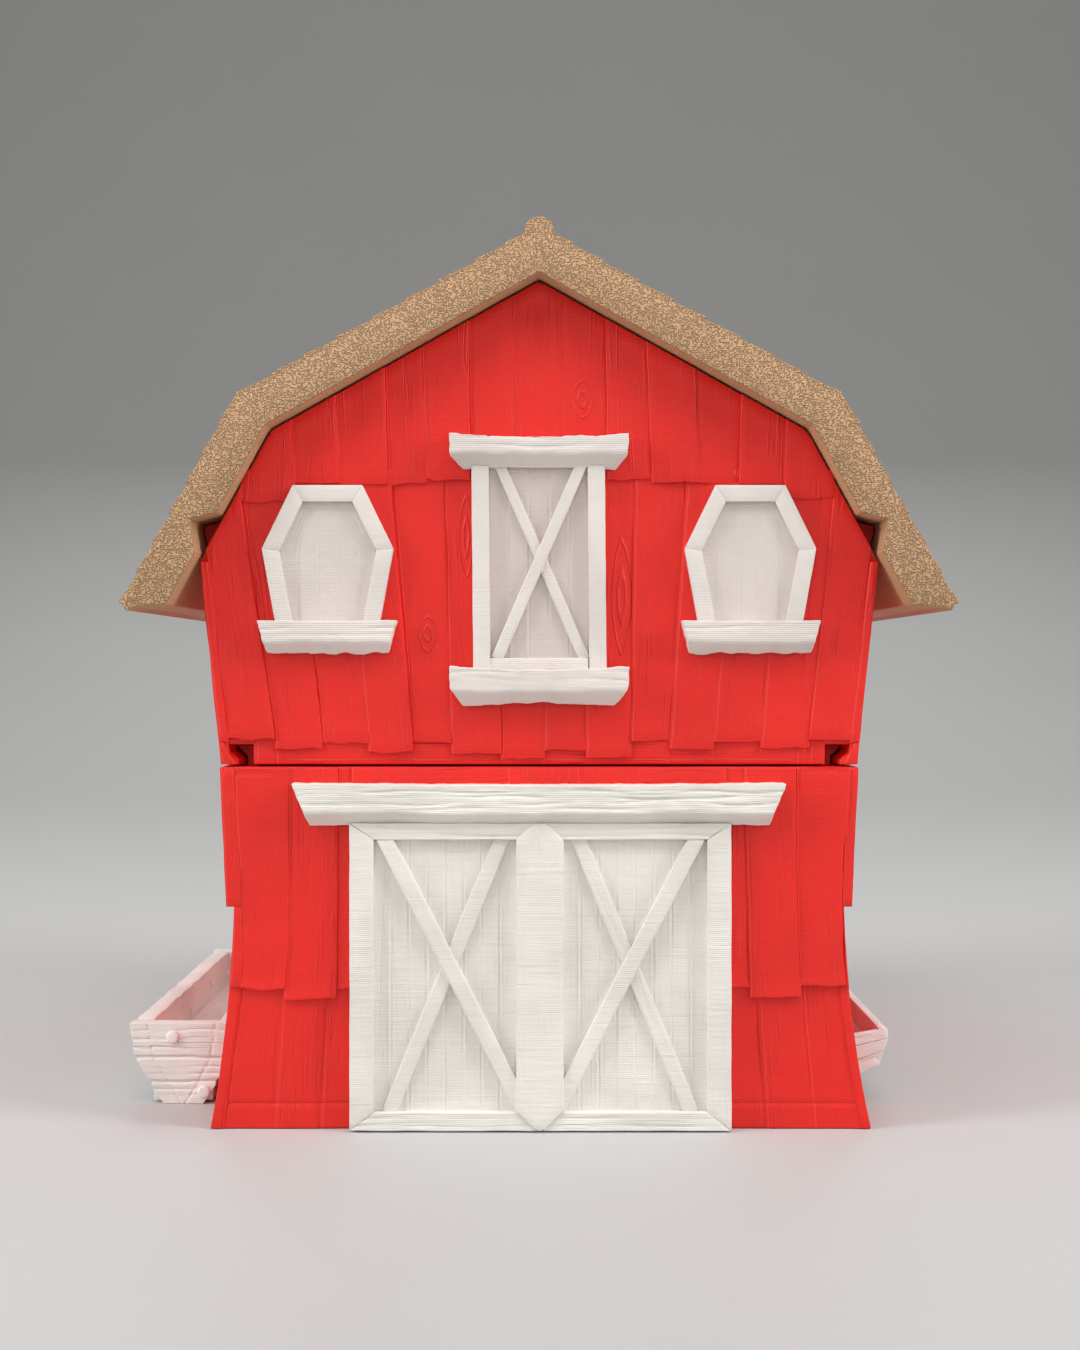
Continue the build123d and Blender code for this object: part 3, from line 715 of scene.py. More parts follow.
        # Back: the same three courses without openings
        joints = evenly(-43.2, 43.2, 13, 1.4, 0.03)
        joints[0] = lambda h: 1.3 - upper_side(h)
        joints[-1] = lambda h: upper_side(h) - 1.3
        feet = [f + 53.4 for f in unevenly(13, 0.6, 0.9)]
        tops = [under_roof] + [GABLE_LAP] * 11 + [under_roof]
        parts += course(on_back, joints, feet, tops,
                        [0] + [p - 0.5 * step for p in unevenly(11, 1, 0.08)] + [0],
                        unevenly(13, 2, 0.12), 11.3, sizes)
        joints = evenly(-41.4, 41.4, 13, 4.4)
        feet = [88.1] + [f + 90.4 for f in unevenly(11, 2.6, 0.4)] + [88.1]
        parts += course(on_back, joints, feet, [under_roof] * 13, unevenly(13, 5, 0.08),
                        unevenly(13, 6, 0.12), 13.9, sizes)
        joints = evenly(-43.4, 43.4, 14, 3.4)
        parts += course(on_back, joints, [level(UPPER_FOOT)] * 14, [56] * 14,
                        [p - step for p in unevenly(14, 2, 0.06)], unevenly(14, 3, 0.06), 15.1,
                        sizes)

        # Sides, from the seam to the eave
        for chart, seed in ((on_right(upper_side), 2.3), (on_left(upper_side), 5.2)):
            joints = evenly(FRONT + 0.45, BACK - 0.45, 13, seed)
            parts += course(chart, joints, [level(UPPER_FOOT)] * 13, [EAVE_Z - 0.05] * 13,
                            [p - 0.04 for p in unevenly(13, seed, 0.05)],
                            unevenly(13, seed + 1, 0.1), 40 + seed, sizes)
        piece = together("upper_walls", parts)
        dress_in("red", piece, "upper", "upper_storey")
        return {"FINISHED"}


# White trim

PITCH = 2.62  # width of the planks in the fields of the doors and windows


def batten(chart, corners, proud, seed, sizes, cell=(0.8, 1.5), wave=0.05, inner=TRIM_BACK,
           edge=None):
    """A straight-edged piece of trim between four corners."""
    spot = quad(*corners)
    width = math.dist(spot(0, 0.5), spot(1, 0.5))
    height = math.dist(spot(0.5, 0), spot(0.5, 1))
    if width > height:
        cell = (cell[1], cell[0])

    def uneven(u, w):
        a, h = spot(u, w)
        return (
            a + wave * rough(a * 0.3, h * 0.3, seed),
            h + wave * rough(a * 0.3, h * 0.3, seed + 4),
        )

    def outer(a, h):
        out = proud(a, h) if callable(proud) else proud
        return out + wave * rough(a * 0.4, h * 0.4, seed + 8)

    cells = (max(2, round(width / cell[0])), max(2, round(height / cell[1])))
    return plank(chart, uneven, outer, inner, cells, edge or sizes.trim_edge, seed)


def field(chart, left, right, foot, top, proud, seed, depth=0.075):
    """The planked field of a panel, between two edges given as functions of height."""
    middle = (foot + top) / 2
    start, width = left(middle), right(middle) - left(middle)
    pitch = width / max(2, round(width / PITCH))

    def spot(u, w):
        h = foot + (top - foot) * w
        return left(h) + (right(h) - left(h)) * u, h

    def outer(a, h):
        along = (a - start) / pitch
        which = math.floor(along)
        joint = min(along - which, which + 1 - along) * pitch
        lip = 0.7 * math.exp(-((joint - 0.3) / 0.12) ** 2)
        line = depth * (max(0, 1 - joint / 0.14) - lip)
        out = proud + 0.035 * math.sin(GOLDEN * which + seed) - line
        return out + 0.03 * rough(a, h * 0.2, seed)

    cells = (round(width / 0.13), max(3, round((top - foot) / 1.5)))
    return plank(chart, spot, outer, TRIM_BACK, cells, 0.0001, seed, 1)


def brace(chart, start, end, width, proud, seed, sizes):
    """A diagonal board across a field, from one point to another."""
    reach = math.dist(start, end) / 2
    askew = turned(chart, ((start[0] + end[0]) / 2, (start[1] + end[1]) / 2),
                   math.atan2(end[1] - start[1], end[0] - start[0]))
    corners = [(-reach, -width / 2), (reach, -width / 2), (reach, width / 2), (-reach, width / 2)]
    return batten(askew, corners, proud, seed, sizes, cell=(0.5, 1.4), inner=0)


def furrows(lines, depth, width):
    """Long wavy grooves that fade in and out: each line is (height, sway, phase)."""

    def cut(a, h):
        total = 0.0
        for base, sway, phase in lines:
            centre = base + sway * rough(a * 0.09, phase, 6)
            strength = min(1, max(0, 0.5 + 1.9 * rough(a * 0.09, phase + 9, 6)))
            total -= depth * strength * math.exp(-((h - centre) / width) ** 2)
        return total

    return cut


def ledge(chart, x, top, half_at, height, proud, slope, dip, seed, sizes, lines,
          back_slope=0.8, ragged_foot=0.12, ragged_top=0.05, droop=0.0, carve=0.13):
    """A header or sill: shaped ends, long grooves, and a lower front edge that falls back.

    half_at gives its half width at a share of its height; droop lets its ends hang lower.
    """
    cut = furrows([(top - d, s, p) for d, s, p in lines], carve, 0.15)

    def spot(u, w):
        side = 2 * u - 1
        a = x + side * (half_at(w) + 0.12 * rough(w * 6, side, seed))
        head = top - dip * (1 - side * side) + ragged_top * rough(a * 1.1, seed, 2)
        head += ragged_top * math.floor(2 * rough(a * 0.35, seed, 9) + 0.5)
        foot = top - height + ragged_foot * rough(a * 0.5, seed, 3) + 0.5 * ragged_foot * rough(
            a * 1.6, seed, 4)
        foot -= droop * side * side
        return a, foot + (head - foot) * w

    def outer(a, h):
        low = top - height + slope + 0.25 * rough(a * 0.3, seed, 7)
        out = proud + 0.06 * rough(a * 0.5, h * 0.8, seed)
        fall = max(0, low + 0.35 - h)
        out -= back_slope * 1.15 * (fall * fall / 1.4 if fall < 0.7 else fall - 0.35)
        return out + cut(a, h)

    cells = (round(half_at(1) / 0.25), max(10, round(height / 0.22)))
    return plank(chart, spot, outer, TRIM_BACK, cells, sizes.trim_edge, seed)


class BARN_OT_door(Operator):
    """Frame the double door, with its planks, centre board, braces and header."""

    bl_idname = "barn.door"
    bl_label = "Double door"

    def execute(self, context):
        sizes = context.scene.barn_sizes
        left, right, foot, top = -26.4, 26.8, 0.2, 43.0
        stile, middle_x, centre = 3.35, 0.13, 3.3
        inner_foot, inner_top = foot + 2.6, top - 2.25
        parts = []
        for side in (-1, 1):
            post = right if side > 0 else left
            near, far = middle_x + side * centre, post - side * stile
            low, high = sorted((near, far))
            parts.append(field(on_front, level(low - 0.2), level(high + 0.2), inner_foot - 0.3,
                               inner_top + 0.3, 0.4, 3.0 * side + 4))
            # the back brace runs from beside the centre board down to the far corner
            parts.append(brace(on_front, (near + side * 1.85, inner_top + 0.4),
                               (far - side * 2.1, inner_foot - 0.3), 2.1, 0.95, 3 + side, sizes))
            parts.append(brace(on_front, (far - side * 1.35, inner_top + 0.4),
                               (near - side * 0.95, inner_foot + 0.4), 2.2, 1.4, 7 + side, sizes))
            corners = [(post, foot), (far, inner_foot), (far, inner_top), (post, top)]
            if side > 0:
                corners = [corners[1], corners[0], corners[3], corners[2]]
            parts.append(batten(on_front, corners, 1.6, 12 + side, sizes, wave=0.06))
            for outer_z, inner_z, seed in ((foot, inner_foot, 21), (top, inner_top, 25)):
                # mitred on the stile at one end, and on the centre board's point at the other
                spots = [(post, outer_z), (middle_x + 0.3 * side, outer_z),
                         (near - side * 0.1, inner_z), (far, inner_z)]
                if (side > 0) == (outer_z < inner_z):
                    spots = [spots[1], spots[0], spots[3], spots[2]]
                if outer_z > inner_z:
                    spots = spots[2:] + spots[:2]
                middle_z = (outer_z + inner_z) / 2
                cut = furrows([(middle_z + 0.5, 0.5, seed + side),
                               (middle_z - 0.55, 0.5, seed + side + 3)], 0.16, 0.16)
                parts.append(
                    batten(on_front, spots, lambda a, h, cut=cut: 1.55 + cut(a, h), seed + side,
                           sizes, cell=(0.2, 0.9), wave=0.06)
                )
        point = 3.2

        def centre_spot(u, w):
            side = 2 * u - 1
            a = middle_x + centre * side + 0.08 * rough(w * 9, side, 2)
            low = foot + point * max(0, abs(side) - 0.12)
            high = top - point * max(0, abs(side) - 0.3)
            return a, low + (high - low) * w

        parts.append(
            plank(on_front, centre_spot, lambda a, h: 1.9 + 0.08 * rough(a * 0.5, h * 0.2, 2),
                  TRIM_BACK, (8, 30), sizes.trim_edge, 31)
        )
        piece = together("barn_door", parts)
        dress_in("door", piece, "lower", "door_panel")

        header = ledge(on_front, 0, 48.62, through((0, 32.1), (0.26, 32.5), (1, 34.3)), 5.7, 3.0,
                       1.5, 0.2, 2.2, sizes,
                       [(1.1, 0.9, 1.0), (1.9, 0.9, 3.0), (2.7, 1.0, 5.0), (3.5, 0.6, 8.0)],
                       back_slope=1.15, droop=0.25, carve=0.2)
        dress_in("door", together("door_header_board", [header]), "lower", "door_header")
        return {"FINISHED"}


class BARN_OT_loft_door(Operator):
    """Frame the loft door, with its header and sill."""

    bl_idname = "barn.loft_door"
    bl_label = "Loft door"

    def execute(self, context):
        sizes = context.scene.barn_sizes
        foot, top, half, stile = 64.3, 92.9, 9.3, 2.4
        rail_foot, inner = 65.0, half - stile
        parts = [field(on_front, level(-inner - 0.2), level(inner + 0.2), foot, top, 0.25, 5.5,
                       0.05)]
        parts.append(brace(on_front, (-5.6, top + 0.3), (6.35, rail_foot + 0.9), 1.55, 0.75, 3.4,
                           sizes))
        parts.append(brace(on_front, (6.0, top + 0.3), (-5.9, rail_foot + 0.9), 1.65, 1.1, 8.4,
                           sizes))
        for side in (-1, 1):
            a, b = sorted((side * half, side * inner))
            corners = [(a + 0.12, foot), (b + 0.12, foot), (b - 0.12, top), (a - 0.12, top)]
            parts.append(batten(on_front, corners, 1.3, 14 + side, sizes))
        for low, high in ((foot, rail_foot + 1.05), (top - 0.3, top + 0.6)):
            corners = [(-inner, low), (inner, low), (inner, high), (-inner, high)]
            parts.append(batten(on_front, corners, 1.15, 17, sizes))
        piece = together("loft_shutter", parts)
        dress_in("window", piece, "upper", "loft_door")

        for name, node, ledge_top, height, seed in (
            ("loft_header_board", "loft_header", 97.2, 4.4, 3.3),
            ("loft_sill_board", "loft_sill", 64.88, 5.1, 6.6),
        ):
            half_at = through((0, 10.6), (0.42, 12.35), (1, 12.5))
            board = ledge(on_front, 0, ledge_top, half_at, height, 2.6, 1.6, 0.5, seed, sizes,
                          [(0.9, 0.9, seed), (1.7, 0.9, seed + 4)], ragged_foot=0.2,
                          ragged_top=0.1, droop=0.5)
            dress_in("window", together(name, [board]), "upper", node)
        return {"FINISHED"}


class BARN_OT_windows(Operator):
    """Frame the two six-sided windows, with their sills."""

    bl_idname = "barn.windows"
    bl_label = "Windows"

    def execute(self, context):
        sizes = context.scene.barn_sizes
        for side, hand in ((-1, "left"), (1, "right")):
            x = side * 29.5
            top, waist, foot = 90.15, 81.3, 71.1
            outer = [(-7.3, foot), (-9.15, waist), (-4.85, top), (4.85, top), (9.15, waist),
                     (7.3, foot)]
            inner = [(-4.95, foot), (-6.8, waist - 0.25), (-3.45, top - 2.3), (3.45, top - 2.3),
                     (6.8, waist - 0.25), (4.95, foot)]
            parts = []
            for i in range(5):
                p, q = outer[i], outer[i + 1]
                r, s = inner[i + 1], inner[i]
                corners = [(x + c[0], c[1]) for c in (p, s, r, q)]
                if i == 2:
                    corners = [(x + c[0], c[1]) for c in (s, r, q, p)]
                parts.append(
                    batten(on_front, corners, 1.2, 2.0 * i + side, sizes, wave=0.02, edge=0.00006)
                )

            edge = through((foot, 5.2), (waist, 7.1), (top - 2.0, 3.7))
            parts.append(field(on_front, lambda h: x - edge(h), lambda h: x + edge(h), foot,
                               top - 2.0, 0.3, 6 + side, 0.04))
            piece = together("window_frame_" + hand, parts)
            dress_in("window", piece, "upper", "window_" + hand)
            half_at = through((0, 8.5), (0.3, 8.85), (1, 9.7))
            sill = ledge(on_front, x, 71.28, half_at, 4.6, 2.2, 1.6, 0.1, 5 + side, sizes,
                         [(1.0, 0.8, 2 + side), (1.9, 0.8, 6 + side)], ragged_foot=0.28)
            sill = together("window_sill_board_" + hand, [sill])
            dress_in("window", sill, "upper", "window_sill_" + hand)
        return {"FINISHED"}


# Roof

RIDGE_IN, EAVE_IN, BREAK_IN = (0.0, 119.2), (51.4, 73.4), (37.7, 98.2)
EAVE_REACH = 3.1  # how far the slab goes on past the eave of its inner line
SLAB, SHINGLE_BED = 5.2, 5.5  # from the inner line out to the slab's face and to the shingles
SAMPLE_WIDE, SAMPLE_TALL = 6.6, 4.6
UPPER_PITCH = math.atan2(RIDGE_IN[1] - BREAK_IN[1], BREAK_IN[0])
LOWER_PITCH = math.atan2(BREAK_IN[1] - EAVE_IN[1], EAVE_IN[0] - BREAK_IN[0])


def roof_line(shift):
    """Ridge, break and lower tip of the roof's inner line, moved outwards."""
    half_turn = (UPPER_PITCH + LOWER_PITCH) / 2
    reach = shift / math.cos((LOWER_PITCH - UPPER_PITCH) / 2)
    return (
        (0.0, RIDGE_IN[1] + shift / math.cos(UPPER_PITCH)),
        (BREAK_IN[0] + reach * math.sin(half_turn), BREAK_IN[1] + reach * math.cos(half_turn)),
        (EAVE_IN[0] + shift * math.sin(LOWER_PITCH) + EAVE_REACH * math.cos(LOWER_PITCH),
         EAVE_IN[1] + shift * math.cos(LOWER_PITCH) - EAVE_REACH * math.sin(LOWER_PITCH)),
    )


def slope_half(height):
    """Half width of the inner line of the steeper slope."""
    share = (BREAK_IN[1] - height) / (BREAK_IN[1] - EAVE_IN[1])
    return BREAK_IN[0] + share * (EAVE_IN[0] - BREAK_IN[0])


class BARN_OT_roof(Operator):
    """Fold the roof slab and lay its shingles and ridge cap."""

    bl_idname = "barn.roof"
    bl_label = "Roof"

    def execute(self, context):
        sizes = context.scene.barn_sizes
        ridge, bend, tip = roof_line(SLAB)
        outer = [ridge, bend, tip, (tip[0] - 0.7, tip[1] - 0.7), (tip[0] - 1.6, 73.1)]
        hook_top = (slope_half(86.1), 86.1)
        corner = (hook_top[0] + 3.7, 85.2)
        hook_foot = (slope_half(80.7), 80.7)
        notch = [EAVE_IN, hook_foot, (corner[0], corner[1] - 1.1), corner, hook_top, BREAK_IN]
        plain = [EAVE_IN, BREAK_IN]

        def section(inner):
            right = outer + inner
            return right + [RIDGE_IN] + [(-x, z) for x, z in reversed(right[1:])]

        groove_end = ROOF_BACK - 8.3
        parts = [soften(prism(section(notch), ROOF_FRONT, groove_end), 0.0002, 2, 20),
                 prism(section(plain), groove_end, ROOF_BACK), self.ridge_cap()]
        parts += self.shingles(sizes)
        piece = together("shingled_roof", parts)
        dress(piece, roof_plastic(), "roof", "tan_plastic", "roof")
        return {"FINISHED"}

    def ridge_cap(self):
        """Half-round ridge tiles end to end."""
        caps = []
        count = 14
        length = (ROOF_BACK - ROOF_FRONT) / count
        height = roof_line(SHINGLE_BED)[0][1] - 0.7
        for i in range(count):
            bpy.ops.object.select_all(action="DESELECT")
            bpy.ops.mesh.primitive_cylinder_add(
                vertices=28, radius=2.08 * MM, depth=(length - 0.05) * MM,
                location=(0, (ROOF_FRONT + (i + 0.5) * length) * MM, height * MM),
                rotation=(math.radians(90), 0, 0),
            )
            cap = bpy.context.object
            bpy.ops.object.transform_apply(location=True, rotation=True, scale=True)
            soften(cap, 0.00018, 2, 50)
            caps.append(cap)
        return together("ridge_cap", caps)

    def shingles(self, sizes):
        """A few shingles are shaped, then copied course by course down both slopes."""
        samples = []
        for k in range(5):
            def spot(u, w, k=k):
                a = (u - 0.5) * 0.985
                foot = 0.05 * rough(u * 2.2, k, 3)
                return a * SAMPLE_WIDE, (foot + w * (1.16 - foot)) * SAMPLE_TALL

            samples.append(
                plank(lambda a, h, d: (a, h, d), spot,
                      lambda a, h, k=k: 0.36 - 0.085 * h + 0.03 * rough(a * 0.8, h, k), -0.5,
                      (3, 2), 0.00014, 60 + k, 1)
            )
        placed = []
        for side in (-1, 1):
            ridge, bend, tip = roof_line(SHINGLE_BED)
            for start, end, courses, pitch, base in (
                (ridge, bend, 9, UPPER_PITCH, 0), (bend, tip, 7, LOWER_PITCH, 20),
            ):
                reach = math.dist(start, end) / courses
                for c in range(1, courses + 1):
                    foot = (start[0] + (end[0] - start[0]) * c / courses,
                            start[1] + (end[1] - start[1]) * c / courses)
                    placed += self.shingle_course(samples, side, foot, pitch, reach, base + c,
                                                  sizes)
        for sample in samples:
            bpy.data.objects.remove(sample)
        return placed

    def shingle_course(self, samples, side, foot, pitch, reach, number, sizes):
        """One course of shingles, their feet on a line along the roof."""
        usual = sizes.shingle_width / MM
        count = round((ROOF_BACK - ROOF_FRONT) / usual)
        shift = 0.5 * usual * (number % 2)
        edges = [ROOF_FRONT]
        for i in range(1, count + 1):
            place = ROOF_FRONT + shift + (i - 0.5 * (number % 2)) * usual
            place += 0.13 * usual * math.sin(GOLDEN * i + 1.3 * number + side)
            if edges[-1] + 0.3 * usual < place < ROOF_BACK - 0.3 * usual:
                edges.append(place)
        edges.append(ROOF_BACK)
        made = []
        for i, (a, b) in enumerate(zip(edges, edges[1:])):
            sample = samples[(i * 3 + number) % len(samples)]
            shingle = bpy.data.objects.new("shingle", sample.data.copy())
            bpy.context.scene.collection.objects.link(shingle)
            lift = 0.05 * math.sin(1.9 * i + number)
            slip = 0.16 * math.sin(2.7 * i + 2.1 * number) - 0.16
            # across the roof, up the slope, outwards
            along = Vector((0, 1, 0))
            up = Vector((-side * math.cos(pitch), 0, math.sin(pitch)))
            out = Vector((side * math.sin(pitch), 0, math.cos(pitch)))
            origin = Vector((side * foot[0], (a + b) / 2, foot[1])) - slip * up + lift * 0.3 * out
            wide, tall = (b - a) / SAMPLE_WIDE, reach / SAMPLE_TALL
            basis = Matrix((
                (along.x * wide, up.x * tall, out.x, origin.x * MM),
                (along.y * wide, up.y * tall, out.y, origin.y * MM),
                (along.z * wide, up.z * tall, out.z, origin.z * MM),
                (0, 0, 0, 1),
            ))
            shingle.data.transform(basis)
            if basis.determinant() < 0:
                shingle.data.flip_normals()
            made.append(shingle)
        return made


# Trough and feed box


def nail(chart, a, h, radius=0.95, proud=0.55):
    """A round nail head standing out of a board."""
    bpy.ops.object.select_all(action="DESELECT")
    bpy.ops.mesh.primitive_cylinder_add(vertices=20, radius=1, depth=1, location=(0, 0, 0))
    obj = bpy.context.object
    for v in obj.data.vertices:
        x, y, z = v.co
        out = proud * (0.5 + z) - 0.3 * (z < 0)
        v.co = Vector(chart(a + x * radius, h + y * radius, out)) * MM
    bpy.ops.object.mode_set(mode="EDIT")
    outward()
    bpy.ops.object.mode_set(mode="OBJECT")
    return soften(obj, 0.00036, 4, 40)


class BARN_OT_trough(Operator):
    """Plank the loose trough."""

    bl_idname = "barn.trough"
    bl_label = "Trough"

    def execute(self, context):
        sizes = context.scene.barn_sizes
        centre, start, end, wall = -53.0, -28.4, 42.6, 2.8
        halves = {
            -1: through((0, 2.8), (2.6, 4.35), (4.9, 5.8), (6.9, 7.05), (12, 7.8)),
            1: through((0, 3.2), (2.6, 4.9), (6.9, 7.1), (12, 7.8)),
        }
        joints = (6.9, 3.3)
        grooves = [(10.9, 1.0, 2.0), (9.8, 1.2, 5.0), (8.2, 1.2, 3.0), (5.6, 1.0, 6.0),
                   (4.5, 0.9, 8.0), (2.2, 0.8, 2.5), (1.1, 0.7, 5.5)]
        fine = furrows(grooves, 0.2, 0.13)

        def half_at(a, h):
            return halves[-1 if a < 0 else 1](h)

        def deep(a, h):
            """The deep wavy grooves between the planks."""
            return -sum(0.45 * math.exp(-((h - joint - 0.25 * rough(a * 0.3, joint)) / 0.16) ** 2)
                        for joint in joints)

        def worn(h):
            """How far the outline leaves the plain section: a notch at each joint."""
            notch = sum(math.exp(-((h - joint) / 0.28) ** 2) for joint in joints)
            return 0.12 * rough(h * 0.9, 4, 1) - 0.3 * notch

        parts = []
        for side in (-1, 1):
            def chart(a, h, d, side=side):
                return centre + side * (halves[side](h) + d), a, h

            for low, high, seed in ((6.9, 12.0, 1), (2.6, 6.9, 4), (0.0, 2.6, 7)):
                def spot(u, w, low=low, high=high):
                    a = start + 0.6 + (end - start - 1.2) * u
                    top = high + (0.3 * rough(a * 0.35, 2, side) - 0.25 if high > 11 else 0)
                    return a, low + (top - low) * w

                parts.append(
                    plank(chart, spot,
                          lambda a, h: worn(h) + deep(a, h) + fine(a + 40, h) - 0.1,
                          -wall if side > 0 or low > 5 else -wall + 0.2,
                          (70, max(10, round((high - low) / 0.22))), 0.0002, seed)
                )

            def inside(a, h, d, side=side):
                return centre + side * (halves[side](h) - wall - d), a, h

            for a, h in ((start + 9, 9.6), (start + 30, 8.2), (end - 22, 9.4), (end - 7, 8.4)):
                parts.append(nail(inside, a, h, 0.85, 0.4))
        for y, facing in ((start, -1), (end, 1)):
            def chart(a, h, d, y=y, facing=facing):
                return centre + a, y + facing * d, h

            def spot(u, w):
                h = 11.9 * w + 0.1 * rough(u * 3, y, 2) * w
                return (2 * u - 1) * (half_at(2 * u - 1, h) + worn(h)), h

            def outer(a, h):
                inside = abs(a) - half_at(a, h) + wall
                post = math.exp(-((inside + 0.15 * rough(h, 3, 3)) / 0.14) ** 2)
                across = 0.6 * a if inside > 0 else a
                return deep(across, h) + fine(across + 3 * (inside > 0), h) - 0.12 * post

            parts.append(plank(chart, spot, outer, -wall + 0.2, (56, 56), 0.0002, 2))
            for a, h in ((-1.3, 9.9), (3.3, 1.8)):
                parts.append(nail(chart, a, h))
        floor = [(centre - 4.4, start + 1), (centre + 4.4, start + 1), (centre + 4.4, end - 1),
                 (centre - 4.4, end - 1)]
        parts.append(
            batten(lambda a, h, d: (a, h, d), floor, 2.45, 11, sizes, cell=(0.8, 3), inner=0.3)
        )
        piece = together("planked_trough", parts)
        dress_in("trough", piece, "trough", "trough")
        return {"FINISHED"}


class BARN_OT_feed_box(Operator):
    """Plank the feed box on the right side wall."""

    bl_idname = "barn.feed_box"
    bl_label = "Feed box"

    def execute(self, context):
        sizes = context.scene.barn_sizes
        start = FRONT + 14.6
        end = start + 57.8
        crease, rim, out_x, wall_x = 5.9, 11.3, 50.4, 43.1
        side = through((crease, out_x), (9.8, 51.8), (rim, 51.6))
        parts = []

        def out_side(a, h, d):
            return side(h) + d, a, h

        for low, high, seed in ((8.4, rim, 1), (crease, 8.35, 4)):
            cut = furrows([(low + (high - low) * 0.4, 0.4, seed)], 0.16, 0.2)
            parts.append(
                batten(out_side, [(start + 0.3, low), (end - 0.3, low), (end - 0.3, high),
                                  (start + 0.3, high)],
                       lambda a, h, cut=cut: -0.05 + cut(a, h), seed, sizes, cell=(0.4, 1.2),
                       wave=0.06, inner=-1.25)
            )

        def under(a, h, d):
            x = 43.2 + (out_x - 43.2) * h
            return x + 0.44 * d, a, 2.4 + (crease - 2.4) * h - 0.9 * d

        for low, high, seed in ((0.0, 0.48, 6), (0.5, 0.99, 9)):
            parts.append(
                batten(under, [(start, low), (end, low), (end, high), (start, high)], 0.0, seed,
                       sizes, cell=(0.09, 1.5), wave=0.0, inner=-1.2)
            )
        for y, facing in ((start, -1), (end, 1)):
            def chart(a, h, d, y=y, facing=facing):
                return a, y + facing * d, h

            for low, high, seed in ((0.0, 0.36, 3), (0.37, 0.7, 5), (0.71, 1.0, 8)):
                def spot(u, w, low=low, high=high, seed=seed):
                    share = low + (high - low) * w + 0.015 * rough(u * 3, seed, 2)
                    share = min(1, max(0, share))
                    outer = side(crease + (rim - crease) * share)
                    x = wall_x + (outer - wall_x) * u
                    foot = min(2.5 + (x - wall_x) * (crease - 2.5) / (out_x - wall_x), 6.2)
                    head = 9.75 + (x - wall_x) * 1.5 / 8.5
                    return x, foot + (head - foot) * share

                cut = furrows([(4.6 + 2 * seed / 3, 0.5, seed + y)], 0.14, 0.2)
                parts.append(
                    plank(chart, spot, lambda a, h, cut=cut: -0.06 + cut(a, h), -1.25, (12, 8),
                          0.00016, seed)
                )
        piece = together("planked_feed_box", parts)
        dress_in("trough", piece, "lower", "feed_box")
        return {"FINISHED"}


# Materials


class Value:
    """A socket that ordinary arithmetic works on, each step adding a Math node."""

    def __init__(self, finish, socket):
        self.finish = finish
        self.socket = socket

    def math(self, operation, *others):
        inputs = dict(enumerate((self,) + others))
        return self.finish.node("Math", {"operation": operation}, inputs)

    def reflected(self, operation, first):
        """The same step with this socket in second place."""
        return self.finish.node("Math", {"operation": operation}, {0: first, 1: self})

    def __add__(self, other):
        return self.math("ADD", other)

    def __sub__(self, other):
        return self.math("SUBTRACT", other)

    def __rsub__(self, first):
        return self.reflected("SUBTRACT", first)

    def __mul__(self, other):
        return self.math("MULTIPLY", other)

    def __truediv__(self, other):
        return self.math("DIVIDE", other)

    def __rtruediv__(self, first):
        return self.reflected("DIVIDE", first)

    def __pow__(self, other):
        return self.math("POWER", other)

    def __rpow__(self, first):
        return self.reflected("POWER", first)

    def __abs__(self):
        return self.math("ABSOLUTE")

    __radd__, __rmul__ = __add__, __mul__

    def fraction(self):
        return self.math("FRACT")

    def sine(self):
        return self.math("SINE")

    def eased(self, low, high):
        """0 below low, 1 above high, smooth between."""
        return self.finish.node(
            "MapRange", {"interpolation_type": "SMOOTHSTEP"},
            {"Value": self, "From Min": low, "From Max": high},
        )


class Finish:
    """A material being put together from nodes."""

    def __init__(self, name):
        self.material = bpy.data.materials.new(name)
        self.material.use_nodes = True
        self.tree = self.material.node_tree
        self.tree.nodes.clear()

    def node(self, kind, settings=None, inputs=None, output=0):
        made = self.tree.nodes.new("ShaderNode" + kind)
        for key, value in (settings or {}).items():
            setattr(made, key, value)
        for key, value in (inputs or {}).items():
            if isinstance(value, Value):
                self.tree.links.new(value.socket, made.inputs[key])
            else:
                made.inputs[key].default_value = value
        return Value(self, made.outputs[output]) if made.outputs else made

    def place(self, scale=(1, 1, 1)):
        """Object coordinates in millimetres, stretched by scale."""
        where = self.node("TexCoord", output="Object")
        return self.node("Mapping", {}, {"Vector": where, "Scale": tuple(s / MM for s in scale)})

    def along(self, axis):
        """One of the object coordinates, in millimetres."""
        return self.node("SeparateXYZ", {}, {0: self.place()}, output=axis)

    def along_grain(self, scale=(1, 1, 1), shift=(0, 0, 0)):
        """The plank's own coordinates: across it, along it, and which plank it is."""
        where = self.node("Attribute", {"attribute_name": "grain"}, output="Vector")
        return self.node("Mapping", {}, {"Vector": where, "Scale": scale, "Location": shift})

    def noise(self, where, scale=1.0, detail=2.0, distortion=0.0, roughness=0.5):
        return self.node("TexNoise", {}, {
            "Vector": where, "Scale": scale, "Detail": detail, "Distortion": distortion,
            "Roughness": roughness,
        })

    def mix(self, share, first, second):
        return self.node("Mix", {"data_type": "RGBA"}, {0: share, 6: first, 7: second}, output=2)

    def bump(self, height_mm):
        """A surface whose height is given in millimetres."""
        return self.node("Bump", {}, {"Strength": 1.0, "Distance": MM, "Height": height_mm})

    def plastic(self, colour, roughness, normal, gloss=0.5):
        surface = self.node("BsdfPrincipled", {}, {
            "Base Color": colour, "Roughness": roughness, "Normal": normal,
            "Specular IOR Level": gloss,
        })
        self.node("OutputMaterial", {}, {"Surface": surface})
        return self.material


